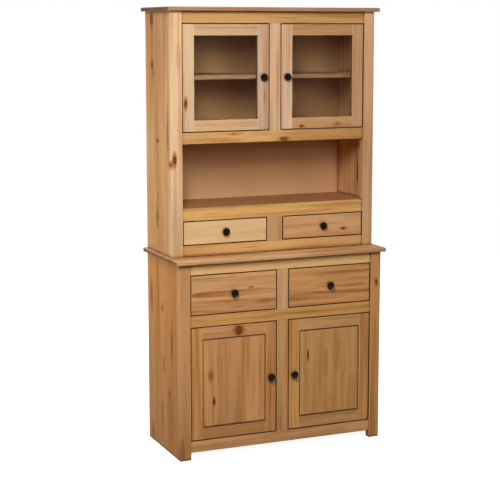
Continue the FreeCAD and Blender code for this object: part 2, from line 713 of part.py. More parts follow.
def make_sash_rail():
    """Rail of a glazed door: a front lip, a longer back that fills the stiles' rebates, and tenons."""
    rail = new_body("glass_door_low_rail")
    lip = rectangle(("0", "0"), ("lip_thickness", "sash_rail"))
    back = rectangle(("lip_thickness", "0"), ("front_thickness", "rebate_sill"))
    tenon = rectangle(("sash_tenon_face", "tenon_shoulder"),
                      ("sash_tenon_face + sash_tenon_thickness", "rebate_sill - tenon_shoulder"))
    for section, start in ((lip, "sash_stile"), (back, "rebate_wall + glue_gap"),
                           (tenon, "rebate_wall - sash_tenon")):
        pad(rail, outline(rail, "YZ_Plane", section, start), f"sash_width - 2 * ({start})")
    soften(rail, "front_ease", edge_at(y=["0"], z=["0"]))
    return hang(rail, SASH)


def make_beads():
    """Four strips in the rebate that hold the pane against the lip."""
    wall = "rebate_wall + bead_play"
    sill = "rebate_sill + bead_play"
    upright = new_body("glass_door_upright_bead")
    plan = rectangle((wall, "bead_face"), ("sash_stile", "front_thickness"))
    pad(upright, outline(upright, "XY_Plane", plan, sill), f"sash_height - 2 * ({sill})")
    soften(upright, "bead_round", edge_at(x=["sash_stile"], y=["front_thickness"]))
    cross = new_body("glass_door_cross_bead")
    section = rectangle(("bead_face", sill), ("front_thickness", "sash_rail"))
    start = "sash_stile + glue_gap"
    pad(cross, outline(cross, "YZ_Plane", section, start), f"sash_width - 2 * ({start})")
    soften(cross, "bead_round", edge_at(y=["front_thickness"], z=["sash_rail"]))
    hang(upright, SASH)
    hang(cross, SASH)
    return [upright, twin(upright, "glass_door_lock_bead", "x", SASH),
            cross, twin(cross, "glass_door_high_bead", "z", SASH)]


def make_glass_doors():
    """Glazed doors: rebated frame, pane, beads and knob."""
    section = [("0", "0"), ("sash_stile", "0"), ("sash_stile", "lip_thickness"),
               ("rebate_wall", "lip_thickness"), ("rebate_wall", "front_thickness"), ("0", "front_thickness")]
    stiles = []
    for hinged in (True, False):
        stile = make_stile(SASH, section, hinged)
        cut_sash_mortises(stile, hinged)
        stiles.append(stile)
    rail = make_sash_rail()
    pane = new_body("glass_door_glass")
    side = "rebate_wall + glass_play"
    sill = "rebate_sill + glass_play"
    sheet_edge = rectangle((side, sill), (f"sash_width - ({side})", f"sash_height - ({sill})"))
    face = "lip_thickness + glass_bed"
    pad(pane, outline(pane, "XZ_Plane", sheet_edge, minus(face)), "glass_thickness", backward=True)
    pair("glass_door_stiles", group("glass_door_stiles", stiles))
    pair("glass_door_rails", group("glass_door_rails", [rail, twin(rail, "glass_door_high_rail", "z", SASH)]))
    pair("glass_door_pane", hang(pane, SASH))
    pair("glass_door_beads", group("glass_door_beads", make_beads()))
    make_door_knob(SASH)


def make_panel_rail():
    """Rail of a panel door: grooved for the panel, with stub tenons in the stiles' grooves."""
    rail = new_body("panel_door_low_rail")
    bed = "door_rail - groove_depth"
    section = [
        ("0", "0"), ("front_thickness", "0"), ("front_thickness", "door_rail"), ("groove_back", "door_rail"),
        ("groove_back", bed), ("groove_face", bed), ("groove_face", "door_rail"), ("0", "door_rail"),
    ]
    pad(rail, outline(rail, "YZ_Plane", section, "door_stile"), "base_front_width - 2 * door_stile")
    tenon = rectangle(("groove_face + glue_gap", "0"), ("groove_back - glue_gap", bed))
    start = "door_stile - groove_depth + glue_gap"
    pad(rail, outline(rail, "YZ_Plane", tenon, start), f"base_front_width - 2 * ({start})")
    soften(rail, "front_ease", edge_at(y=["0"], z=["0"]))
    return hang(rail, PANEL_DOOR)


def make_fielded_panel():
    """Panel whose thin edge runs in the groove and whose raised field stands forward of it."""
    panel = new_body("panel_door_board")

    def around(side, rail):
        far = (f"base_front_width - ({side})", f"panel_door_height - ({rail})")
        return rectangle((side, rail), far)
    edge = around("door_stile - groove_depth + panel_play", "door_rail - groove_depth + panel_play")
    back = "groove_back - panel_play"
    pad(panel, outline(panel, "XZ_Plane", edge, minus(back)), "groove_width - 2 * panel_play")
    field = around("door_stile + field_margin", "door_rail + field_margin")
    shoulder = "groove_face + panel_play"
    pad(panel, outline(panel, "XZ_Plane", field, minus(shoulder)), f"{shoulder} - field_drop")
    soften(panel, "field_round", edge_at(y=["field_drop"]))
    return hang(panel, PANEL_DOOR)


def make_panel_doors():
    """Panel doors: grooved frame, fielded panel and knob."""
    bed = "door_stile - groove_depth"
    section = [
        ("0", "0"), ("door_stile", "0"), ("door_stile", "groove_face"), (bed, "groove_face"),
        (bed, "groove_back"), ("door_stile", "groove_back"), ("door_stile", "front_thickness"),
        ("0", "front_thickness"),
    ]
    stiles = [make_stile(PANEL_DOOR, section, hinged) for hinged in (True, False)]
    rail = make_panel_rail()
    pair("panel_door_stiles", group("panel_door_stiles", stiles))
    rails = [rail, twin(rail, "panel_door_high_rail", "z", PANEL_DOOR)]
    pair("panel_door_rails", group("panel_door_rails", rails))
    pair("panel_door_panel", make_fielded_panel())
    make_door_knob(PANEL_DOOR)


def make_knob(name, x, y, z):
    """Turned mushroom knob on its machine screw, standing forward of a board's face."""
    knob = new_body(name + "_turned")
    rim = "-(knob_under + knob_rim)"
    hole_end = "-(screw_reach + screw_play)"
    corners = [
        ("0", "-knob_length"), ("0", hole_end), ("screw_hole", hole_end), ("screw_hole", "0"),
        ("knob_foot", "0"), ("knob_foot", "-knob_foot_height"), ("knob_neck", "-knob_foot_height"),
        ("knob_neck", "-knob_under"), ("knob_radius", "-knob_under"), ("knob_radius", rim),
    ]
    sketch = new_sketch(knob, "XY_Plane", "0")
    spots = [flat(corner) for corner in corners]
    for here, there in zip(spots, spots[1:]):
        sketch.addGeometry(Part.LineSegment(here, there), False)
    crown, edge = spots[0], spots[-1]
    rise = (edge.x ** 2 + edge.y ** 2 - crown.y ** 2) / (2 * (edge.y - crown.y))
    circle = Part.Circle(FreeCAD.Vector(0, rise, 0), FreeCAD.Vector(0, 0, 1), rise - crown.y)
    slope = math.atan2(edge.y - rise, edge.x)
    dome = sketch.addGeometry(Part.ArcOfCircle(circle, -math.pi / 2, slope), False)
    for index in range(dome - 1):
        sketch.addConstraint(Sketcher.Constraint("Coincident", index, 2, index + 1, 1))
    sketch.addConstraint(Sketcher.Constraint("Coincident", dome - 1, 2, dome, 2))
    sketch.addConstraint(Sketcher.Constraint("Coincident", dome, 1, 0, 1))
    sketch.addConstraint(Sketcher.Constraint("PointOnObject", dome, 3, -2))
    for index, corner in enumerate(corners[:-1]):
        tie_point(sketch, index, 1, corner)
    tie_point(sketch, dome - 1, 2, corners[-1])
    revolve(knob, sketch)
    soften(knob, "knob_ease", ring_at("knob_neck", "-knob_foot_height"), ring_at("knob_neck", "-knob_under"),
           ring_at("knob_radius", "-knob_under"), ring_at("knob_foot", "-knob_foot_height"))
    screw = new_body(name + "_screw")
    head_end = "front_thickness + screw_head_height"
    revolve(screw, outline(screw, "XY_Plane", [
        ("0", "-screw_reach"), ("screw_radius", "-screw_reach"), ("screw_radius", "front_thickness"),
        ("screw_head_radius", "front_thickness"), ("screw_head_radius", head_end), ("0", head_end)]))
    for thing in (knob, screw):
        place(thing, x, y, z)
    pair(name, group(name, [knob, screw]))


def make_door_knob(door):
    """Knob at mid-height on the stile away from the hinge."""
    make_knob(door.name + "_knob", f"fit_gap - inner_half + {door.wide} - {door.stile} / 2",
              f"{door.unit.front} + face_setback", f"{door.level} + fit_gap + {door.tall} / 2")


def make_drawer(drawer):
    """Drawer: front housed for its box, grooved box sides, box back, bottom and knob."""
    name, wide = drawer.name, drawer.wide
    corner = ("fit_gap - inner_half", f"{drawer.unit.front} + face_setback", f"{drawer.level} + fit_gap")
    middle = f"fit_gap - inner_half + {wide} / 2"
    tall = f"({drawer.opening} - 2 * fit_gap)"
    box_high = f"({drawer.opening} - box_headroom - fit_gap)"
    box_end = f"({drawer.unit.deep} - back_thickness - box_clearance - face_setback)"
    tail = f"({box_end} - box_tail)"

    front = new_body(name + "_face")
    face = rectangle(("0", "0"), (wide, tall))
    pad(front, outline(front, "XZ_Plane", face, "-front_thickness"), "front_thickness")
    soften(front, "front_ease", edge_at(y=["0"]))
    head = f"{box_high} + glue_gap"
    left = rectangle(("box_inset - glue_gap", "-fit_gap"), ("box_wall + glue_gap", head))
    right = rectangle((f"{wide} - box_wall - glue_gap", "-fit_gap"), (f"{wide} - box_inset + glue_gap", head))
    floor = rectangle(("box_inset + glue_gap", "bottom_low - glue_gap"),
                      (f"{wide} - box_inset - glue_gap", "bottom_high + glue_gap"))
    for slot in (left, right, floor):
        pocket(front, outline(front, "XZ_Plane", slot, "-front_thickness"), "box_housing", along=True)
    centre = [(f"{wide} / 2", f"{tall} / 2")]
    pocket(front, circles(front, "XZ_Plane", centre, "screw_hole"), "front_thickness")

    side = new_body(name + "_side")
    profile = rectangle(("box_front", "box_low"), (box_end, box_high))
    pad(side, outline(side, "YZ_Plane", profile, "box_inset"), "box_side")
    groove = rectangle(("0", "bottom_low - glue_gap"), (f"{box_end} + box_tail", "bottom_high + glue_gap"))
    pocket(side, outline(side, "YZ_Plane", groove, "box_wall"), "bottom_groove")
    dado = rectangle((f"{tail} - box_side - glue_gap", "bottom_low"), (f"{tail} + glue_gap", head))
    pocket(side, outline(side, "YZ_Plane", dado, "box_wall"), "back_housing")

    def shift(spot):
        return tuple(f"{start} + {step}" for start, step in zip(corner, spot))
    inner = "(box_wall - back_housing + glue_gap)"
    back = board(name + "_back", shift((inner, f"{tail} - box_side", "bottom_high + glue_gap")),
                 shift((f"{wide} - {inner}", tail, box_high)))
    edge = "(box_wall - bottom_groove + glue_gap)"
    bottom = board(name + "_floor", shift((edge, "box_front", "bottom_low")),
                   shift((f"{wide} - {edge}", tail, "bottom_high")))
    place(front, *corner)
    place(side, *corner)
    pair(name + "_front", front)
    pair(name + "_box", group(name + "_box", [side, mirrored(side, name + "_other_side", "x", middle), back]))
    pair(name + "_bottom", bottom)
    make_knob(name + "_knob", middle, corner[1], f"{corner[2]} + {tall} / 2")


def check_and_write():
    """Stop on anything unsound, then write one file for each node."""
    for thing in doc.Objects:
        if "Invalid" in thing.State or "Error" in thing.State:
            raise RuntimeError(thing.Label + " did not build")
    for name, thing in nodes.items():
        if thing.Shape.isNull() or not thing.Shape.isValid():
            raise RuntimeError(name + " is not a sound shape")
    os.makedirs("parts", exist_ok=True)
    for name, thing in nodes.items():
        thing.Shape.exportStep(f"parts/{name}.step")


doc = FreeCAD.newDocument("tall_cupboard")
sheet = doc.addObject("Spreadsheet::Sheet", "dims")
for row, (title, size, meaning) in enumerate(SIZES, 1):
    sheet.set(f"A{row}", title)
    sheet.set(f"B{row}", str(size))
    sheet.setAlias(f"B{row}", title)
    sheet.set(f"C{row}", meaning)
doc.recompute()
nodes = {}
make_frames()
make_boards()
node("drawer_runners", group("drawer_runners", make_runners(BASE_DRAWER) + make_runners(UPPER_DRAWER)))
make_dowels()
make_shelf_pins()
make_pivot_pins()
make_glass_doors()
make_panel_doors()
make_drawer(BASE_DRAWER)
make_drawer(UPPER_DRAWER)
doc.recompute()
check_and_write()
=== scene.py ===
"""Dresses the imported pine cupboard: waxed boards, hardboard backs, window glass and dark knobs."""

import logging
import math
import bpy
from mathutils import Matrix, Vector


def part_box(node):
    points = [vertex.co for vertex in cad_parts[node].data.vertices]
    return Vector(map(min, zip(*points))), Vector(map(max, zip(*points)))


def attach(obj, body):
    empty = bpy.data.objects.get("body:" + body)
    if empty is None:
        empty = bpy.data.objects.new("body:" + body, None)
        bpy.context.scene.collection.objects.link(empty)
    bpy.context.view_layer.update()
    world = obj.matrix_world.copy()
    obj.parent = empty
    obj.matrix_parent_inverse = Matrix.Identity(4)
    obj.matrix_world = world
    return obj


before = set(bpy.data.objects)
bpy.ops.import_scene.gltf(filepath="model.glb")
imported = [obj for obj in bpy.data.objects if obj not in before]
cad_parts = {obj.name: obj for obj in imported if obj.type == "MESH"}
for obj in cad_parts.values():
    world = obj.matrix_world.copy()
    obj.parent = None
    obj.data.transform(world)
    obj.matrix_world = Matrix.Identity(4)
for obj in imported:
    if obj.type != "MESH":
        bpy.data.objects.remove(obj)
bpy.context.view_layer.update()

import zlib
from dataclasses import dataclass, field, replace
from enum import Enum
from typing import Any, ClassVar

import bpy
import numpy as np

LOG = logging.getLogger("cupboard")
MM = 0.001
PER_MM = (1 / MM,) * 3
# How far apart, in mm, the two boards of a pair are set, so that a knot marks only its own board
FAR_BOARD = 5000.0
# A Mix node for colours: the numbers of its two colour inputs, and what sets it up
MIX_A, MIX_B = 6, 7
MIX_COLOURS: dict[str, Any] = {"out": 2, "data_type": "RGBA"}
# A MapRange node that eases in and out at the ends of its range
EASED: dict[str, Any] = {"interpolation_type": "SMOOTHSTEP"}
WHITE = "FFFFFF"

Range = tuple[float, float]
Triple = tuple[float, float, float]


class Lay(Enum):
    """How a board lies: the axes that run along its grain, across it and through its thickness."""

    RAIL = (0, 2, 1)
    POST = (2, 0, 1)
    SIDE = (2, 1, 0)
    SHELF = (0, 1, 2)
    RUNNER = (1, 2, 0)


class Axis(Enum):
    """An axis of the part's frame."""

    X = 0
    Y = 1
    Z = 2


class Figure(Enum):
    """How a board's figure shows: ring spacing in mm, then the depth of rings, clouds and dashes.

    Real rings are 2 to 5 mm apart. These are drawn as coarse as they need to be to show.
    """

    CALM = (8.0, 0.16, 0.20, 0.18)
    QUIET = (8.0, 0.28, 0.42, 0.30)
    PLAIN = (10.0, 0.36, 0.52, 0.42)
    LIVELY = (15.0, 0.52, 0.56, 0.44)


class Streak(Enum):
    """A noise drawn out along the grain: its size along the grain and across it in mm.

    Real fibres are far finer. These are drawn as coarse as they need to be to show.
    """

    WANDER = (420.0, 80.0)
    CLOUD = (600.0, 26.0)
    FIBRE = (90.0, 2.4)
    DASH = (150.0, 7.0)


def linear(code: str) -> tuple[float, float, float, float]:
    """Turn an sRGB hex colour into linear light, with the numbers of the sRGB standard.

    Args:
        code: Six hex digits.

    Returns:
        Linear red, green and blue, and an alpha of 1.
    """
    parts = np.array([int(code[i : i + 2], 16) for i in (0, 2, 4)]) / 255.0
    light = np.where(parts <= 0.04045, parts / 12.92, ((parts + 0.055) / 1.055) ** 2.4)
    return (float(light[0]), float(light[1]), float(light[2]), 1.0)


class Shader:
    """The nodes of one procedural material, or of the world."""

    def __init__(self, owner: bpy.types.Material | bpy.types.World) -> None:
        """Start an empty node tree in its owner."""
        owner.use_nodes = True
        self.owner = owner
        self.tree = owner.node_tree
        self.tree.nodes.clear()

    def add(
        self, kind: str, *values: Any, named: dict[Any, Any] | None = None, out: Any = 0,
        **settings: Any,
    ) -> Any:
        """Add one node with its settings and links.

        Args:
            kind: The node's type without its ShaderNode prefix.
            values: Values or sockets for the inputs in order; None leaves an input as it is.
            named: Values or sockets for inputs by name or number.
            out: The name or number of the output that is handed back.
            settings: Properties of the node, set before its inputs.

        Returns:
            The chosen output socket, or the node itself where it has none.
        """
        made = self.tree.nodes.new("ShaderNode" + kind)
        for key, value in settings.items():
            setattr(made, key, value)
        for key, value in [*enumerate(values), *(named or {}).items()]:
            if isinstance(value, bpy.types.NodeSocket):
                self.tree.links.new(value, made.inputs[key])
            elif value is not None:
                made.inputs[key].default_value = value
        return made.outputs[out] if made.outputs else made


@dataclass(frozen=True)
class Knot:
    """A place where a branch stood, or a resin mark, in the part's own millimetres.

    Attributes:
        STAIN: The depth up to which it is a stain without a heart.
        BARK: The depth past which bark shows round its heart.
        CRISP: The depth at which its edge is crispest.
        EDGE: How far a crisp edge is smeared.
        SOFTENING: What a fainter knot's edge is smeared more.
        along: Place along the grain.
        across: Place across the grain.
        long: Half its length along the grain.
        wide: Half its width across the grain.
        depth: How dark it is, from 0 to 1.
        board: Which board of a pair it is on, 0 or 1.
    """

    STAIN: ClassVar[float] = 0.375
    BARK: ClassVar[float] = 0.7
    CRISP: ClassVar[float] = 0.9
    EDGE: ClassVar[float] = 0.3
    SOFTENING: ClassVar[float] = 2.0

    along: float
    across: float
    long: float
    wide: float
    depth: float
    board: int = 0

    @property
    def dark(self) -> float:
        """How strongly the heart shows, up to 1; a stain has 0 or less."""
        return (self.depth - self.STAIN) / (1.0 - self.STAIN)

    @property
    def blur(self) -> float:
        """How far the heart's edge is smeared to either side, in squares of the knot's size."""
        return self.EDGE + self.SOFTENING * max(0.0, self.CRISP - self.depth)


@dataclass(frozen=True)
class Cut:
    """Where one CAD node holds two boards: the axis and place of the plane between them, in mm."""

    axis: Axis
    at: float = 0.0


@dataclass(frozen=True)
class Board:
    """What is needed to grow the grain of one node's boards.

    Attributes:
        lay: How the boards lie.
        tones: The pale wood's hex colour, one for each board of the node.
        cut: The plane between two boards of the node.
        strip: Width of the glued strips in mm, or 0 for a whole board.
        figure: How strongly the rings show.
        knots: Knots and resin marks.
        crease_shade: How dark the painted shade in its creases is, from 0 to 1.
    """

    lay: Lay
    tones: tuple[str, ...]
    cut: Cut | None = None
    strip: float = 0.0
    figure: Figure = Figure.PLAIN
    knots: tuple[Knot, ...] = ()
    crease_shade: float = 0.75


@dataclass(frozen=True)
class Noise:
    """A noise pattern: the size of its features in mm, and its octaves."""

    size: float
    detail: float

    @property
    def inputs(self) -> dict[str, float]:
        """What a noise node needs where places are in mm."""
        return {"Scale": 1 / self.size, "Detail": self.detail}


@dataclass
class Wood:
    """One node's wood while it grows: what is Any is a socket, or a plain value in place of one.

    Attributes:
        s: The shader being built.
        board: How the boards lie, their tones and knots.
        along: Place along the grain in mm.
        across: Place across the grain in mm.
        side: 0 on the node's first board, 1 on its second.
        place: Along the grain, from the middle of its board or strip, and through it, in mm.
        underside: The low face of the board's thickness in mm.
        label: A number that each board and strip has to itself.
        chance: Three chance numbers for that label.
        halo: How strongly the stained wood round the knots shows.
        heart: How strongly their hearts show.
        closest: The square of the way from the next barked heart, which is 1 at its edge.
        streaks: The noises along the grain.
        late: How deep in summer wood the point is.
        colour: The colour so far.
    """

    s: Shader
    board: Board
    along: Any = 0.0
    across: Any = 0.0
    side: Any = 0.0
    place: Any = (0.0, 0.0, 0.0)
    underside: float = 0.0
    label: Any = 0.0
    chance: Any = (0.0, 0.0, 0.0)
    halo: Any = 0.0
    heart: Any = 0.0
    closest: Any = FAR_BOARD
    streaks: dict[Streak, Any] = field(default_factory=dict)
    late: Any = 0.0
    colour: Any = None


@dataclass(frozen=True)
class WaxedPine:
    """Planed pine under honey wax.

    The eye gets pale spring wood with thin amber summer rings, short dark streaks, red-brown knots
    with an amber halo, end grain that drank the wax and went dark, painted shade in grooves, gaps
    and corners, pale edges that are partly rubbed wear and partly a painted highlight, and hardly
    any sheen.
    """

    # Colours of summer wood, short dark streaks, a knot's halo, heart and bark, end grain, pale
    # edges that are partly a painted highlight, and the painted shade in creases
    ring_tone: str = "A8662C"
    dash_tone: str = "7E4520"
    halo_tone: str = "A2602B"
    heart_tone: str = "7A3A1B"
    rim_tone: str = "45200F"
    end_tone: str = "5E412D"
    wear_and_highlight_tone: str = "F0CFA0"
    crease_shade_tone: str = "3B1F0E"
    # Labels: how many the nodes are spread over, and the steps from board to board, strip to strip
    seeds: int = 997
    board_step: float = 7.13
    strip_step: float = 1.618
    # Where the strips begin, in strips
    strip_phase: float = 50.31
    # How far apart in the tree boards are sawn, along, across and through, in mm
    scatter: Triple = (4000.0, 900.0, 900.0)
    # Octaves of the streaks
    streak_detail: float = 1.5
    # How far the pith line strays from board to board, stays under a board, and sways across and
    # through it, in mm
    pith_spread: float = 60.0
    pith_below: float = 25.0
    sway: Range = (44.0, 36.0)
    # Changes of growth for each ring, and how far rings crowd and spread, in rings
    growth_pace: float = 0.45
    growth_swing: float = 1.6
    # Where in a year summer wood begins and is full, where it fades and ends, and the faintest and
    # the strongest year
    summer: Range = (0.2, 0.88)
    winter: Range = (0.9, 1.0)
    year_strength: Range = (0.3, 1.1)
    # Cloud values between which rings come up, and what share of a ring shows outside the clouds
    ring_clouds: Range = (0.35, 0.7)
    ring_least: float = 0.35
    # Streak values between which clouds darken, fibres are told apart and dashes come up
    clouds: Range = (0.4, 0.75)
    fibres: Range = (0.3, 0.7)
    dashes: Range = (0.62, 0.76)
    # How much the fibres darken and lighten
    fibre_depth: float = 0.1
    # A board's brightness and saturation: what luck adds to them, and the least
    value: Range = (0.14, 0.73)
    warmth: Range = (0.06, 0.97)
    # How much the brightness wanders inside a board
    value_wander: float = 0.4
    # The waves of a knot's edge, and how far they reach along, across and through, in mm
    ragged: Noise = Noise(11.0, 2.0)
    ragged_reach: Triple = (16.0, 6.0, 0.0)
    # What draws a halo out along the grain, and the drawn-out squares between which it comes up
    halo_draw: Triple = (0.16, 0.5, 0.0)
    # How dark the painted shade is in the deep grooves beside the rails, and in the shallow ones
    # round a panel
    halo_edge: Range = (1.3, 0.1)
    # The squares between which a heart turns into bark
    bark: Range = (0.2, 0.95)
    # How squarely a face cuts the grain where end grain begins and is full, and how dark it is
    end_facing: Range = (0.5, 0.95)
    end_share: float = 0.78
    # Pale edges, partly rubbed wear and partly a painted highlight: width in m, the openness between
    # which they come up, and how strong they are
    wear_and_highlight_reach: float = 0.0028
    wear_and_highlight_open: Range = (0.95, 0.6)
    wear_and_highlight_share: float = 0.4
    # Streak values between which the pale edges are patchy, and what share of them always stays
    wear_and_highlight_dashes: Range = (0.35, 0.6)
    wear_and_highlight_least: float = 0.4
    # Painted shade in creases: width in m, and the openness between which it comes up
    crease_shade_reach: float = 0.014
    crease_shade_open: Range = (0.95, 0.5)
    # Rays for each look at edges and creases
    samples: int = 4
    # Relief: height of the fibres against the rings, its lowest and highest, then its strength and
    # its height in m
    fibre_relief: float = 0.5
    relief_range: Range = (0.0, 1.4)
    grain: Range = (0.35, 0.00012)
    # The wax: how rough it is in spring wood and on the rings, and what is left of its mirror
    roughness: Range = (0.58, 0.44)
    ior: float = 1.47
    gloss: float = 0.03

    def material(self, name: str, board: Board) -> bpy.types.Material:
        """Grow one node's wood as a solid pattern of rings round a pith line, parted at the knots.

        Args:
            name: The CAD node the wood is for.
            board: How its boards lie, their tones and knots.

        Returns:
            The finished material.
        """
        s = Shader(bpy.data.materials.new("waxed_pine_" + name))
        wood = Wood(s, board)
        self.locate(wood, name)
        shift = self.mark(wood) if board.knots else (0.0, 0.0, 0.0)
        wood.place = s.add("VectorMath", wood.place, shift)
        self.streak(wood)
        self.ring(wood)
        self.tint(wood)
        if board.knots:
            self.stain(wood)
        self.age(wood)
        fibre = wood.streaks[Streak.FIBRE]
        relief = s.add("Math", fibre, self.fibre_relief, wood.late, operation="MULTIPLY_ADD")
        look = {
            "Base Color": wood.colour,
            "Roughness": s.add("MapRange", relief, *self.relief_range, *self.roughness),
            "IOR": self.ior,
            "Specular IOR Level": self.gloss,
            "Normal": s.add("Bump", *self.grain, named={"Height": relief}),
        }
        s.add("OutputMaterial", s.add("BsdfPrincipled", named=look))
        return s.owner

    def locate(self, wood: Wood, name: str) -> None:
        """Find a point's place in its own board and strip, and what chance gives them.

        Args:
            wood: The wood so far.
            name: The CAD node it is for.
        """
        s, board = wood.s, wood.board
        low, high = (np.array(corner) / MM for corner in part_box(name))
        grain, width, depth = board.lay.value
        place = s.add("VectorMath", s.add("TexCoord", out="Object"), PER_MM, operation="MULTIPLY")
        axes = s.add("SeparateXYZ", place).node.outputs
        left, right = float(low[width]), float(high[width])
        first = second = (left + right) / 2
        if board.cut:
            axis, at = board.cut.axis.value, board.cut.at
            wood.side = s.add("Math", axes[axis], at, operation="GREATER_THAN")
            if axis == width:
                first, second = (left + at) / 2, (right + at) / 2
        middle = s.add("Math", wood.side, first - second, -first, operation="MULTIPLY_ADD")
        own = s.add("Math", axes[width], middle)
        seed = float(zlib.crc32(name.encode()) % self.seeds)
        label = s.add("Math", wood.side, self.board_step, seed, operation="MULTIPLY_ADD")
        if board.strip:
            bands = s.add("Math", own, 1 / board.strip, self.strip_phase, operation="MULTIPLY_ADD")
            count = s.add("Math", bands, operation="FLOOR")
            label = s.add("Math", count, self.strip_step, label, operation="MULTIPLY_ADD")
            part = s.add("Math", bands, operation="FRACT")
            own = s.add("Math", part, board.strip, -board.strip / 2, operation="MULTIPLY_ADD")
        wood.along, wood.across, wood.underside = axes[grain], axes[width], float(low[depth])
        wood.place = s.add("CombineXYZ", wood.along, own, axes[depth])
        wood.label = label
        wood.chance = s.add("TexWhiteNoise", named={"W": label}, out="Color", noise_dimensions="1D")

    def mark(self, wood: Wood) -> Any:
        """Lead the grain round each knot as a stream parts at a post, and find hearts and halos.

        Args:
            wood: The wood so far.

        Returns:
            How far the grain is led aside in mm.
        """
        s = wood.s
        shift = (0.0, 0.0, 0.0)
        along = s.add("Math", wood.side, FAR_BOARD, wood.along, operation="MULTIPLY_ADD")
        place = s.add("CombineXYZ", along, wood.across, 0.0)
        waves = s.add("TexNoise", place, named=self.ragged.inputs, out="Color")
        place = s.add("VectorMath", waves, self.ragged_reach, place, operation="MULTIPLY_ADD")
        for knot in wood.board.knots:
            middle = (
                knot.along + self.ragged_reach[0] / 2 + knot.board * FAR_BOARD,
                knot.across + self.ragged_reach[1] / 2,
            )
            scale = (1 / knot.long, 1 / knot.wide, 0.0)
            start = (-middle[0] / knot.long, -middle[1] / knot.wide, 0.0)
            away = s.add("VectorMath", place, scale, start, operation="MULTIPLY_ADD")
            square = s.add("VectorMath", away, away, operation="DOT_PRODUCT", out="Value")
            drawn = s.add("VectorMath", away, self.halo_draw, operation="MULTIPLY")
            tail = s.add("VectorMath", drawn, away, operation="DOT_PRODUCT", out="Value")
            halo = s.add("MapRange", tail, *self.halo_edge, 0.0, knot.depth, **EASED)
            wood.halo = s.add("Math", wood.halo, halo, operation="MAXIMUM")
            if knot.dark <= 0.0:
                continue
            edge = (1.0 + knot.blur, 1.0 - knot.blur)
            heart = s.add("MapRange", square, *edge, 0.0, knot.dark, **EASED)
            wood.heart = s.add("Math", wood.heart, heart, operation="MAXIMUM")
            if knot.depth > knot.BARK:
                wood.closest = s.add("Math", wood.closest, square, operation="MINIMUM")
            outside = s.add("Math", square, 1.0, operation="MAXIMUM")
            pull = s.add("Math", 1.0, outside, operation="DIVIDE")
            moved = s.add("VectorMath", away, named={"Scale": pull}, operation="SCALE")
            push = (0.0, -knot.wide, 0.0)
            shift = s.add("VectorMath", moved, push, shift, operation="MULTIPLY_ADD")
        return shift

    def streak(self, wood: Wood) -> None:
        """Draw out the noises along the grain, for each board from its own place in the tree.

        Args:
            wood: The wood so far.
        """
        s = wood.s
        tree = s.add("VectorMath", wood.chance, self.scatter, wood.place, operation="MULTIPLY_ADD")
        noise = {"Scale": 1.0, "Detail": self.streak_detail}
        for streak in Streak:
            along, across = streak.value
            scale = (1 / along, 1 / across, 1 / across)
            drawn = s.add("VectorMath", tree, scale, operation="MULTIPLY")
            wood.streaks[streak] = s.add("TexNoise", drawn, named=noise)

    def ring(self, wood: Wood) -> None:
        """Lay the years round a swaying pith line, some wide and some narrow, strong or faint.

        Args:
            wood: The wood so far.
        """
        s = wood.s
        spacing = wood.board.figure.value[0]
        spread = (0.0, self.pith_spread, self.pith_spread)
        start = (0.0, -self.pith_spread / 2, self.pith_below - wood.underside)
        pith = s.add("VectorMath", wood.chance, spread, start, operation="MULTIPLY_ADD")
        wander = wood.streaks[Streak.WANDER].node.outputs["Color"]
        reach = (0.0, self.sway[0], self.sway[1])
        start = (0.0, -self.sway[0] / 2, -self.sway[1] / 2)
        sway = s.add("VectorMath", wander, reach, start, operation="MULTIPLY_ADD")
        way = s.add("VectorMath", s.add("VectorMath", wood.place, pith), sway)
        way = s.add("VectorMath", way, (0.0, 1.0, 1.0), operation="MULTIPLY")
        way = s.add("VectorMath", way, operation="LENGTH", out="Value")
        pace = self.growth_pace / spacing
        pace = s.add("Math", way, pace, wood.label, operation="MULTIPLY_ADD")
        noise = {"W": pace, "Scale": 1.0, "Detail": 0.0}
        growth = s.add("TexNoise", named=noise, noise_dimensions="1D")
        growth = s.add("Math", growth, self.growth_swing, operation="MULTIPLY")
        years = s.add("Math", way, 1 / spacing, growth, operation="MULTIPLY_ADD")
        turn = s.add("Math", years, operation="FRACT")
        year = s.add("Math", s.add("Math", years, operation="FLOOR"), wood.label)
        year = s.add("TexWhiteNoise", named={"W": year}, noise_dimensions="1D")
        rise = s.add("MapRange", turn, *self.summer, **EASED)
        fall = s.add("MapRange", turn, *self.winter, 1.0, 0.0, **EASED)
        late = s.add("Math", rise, fall, operation="MULTIPLY")
        strength = s.add("MapRange", year, 0.0, 1.0, *self.year_strength)
        wood.late = s.add("Math", late, strength, operation="MULTIPLY")

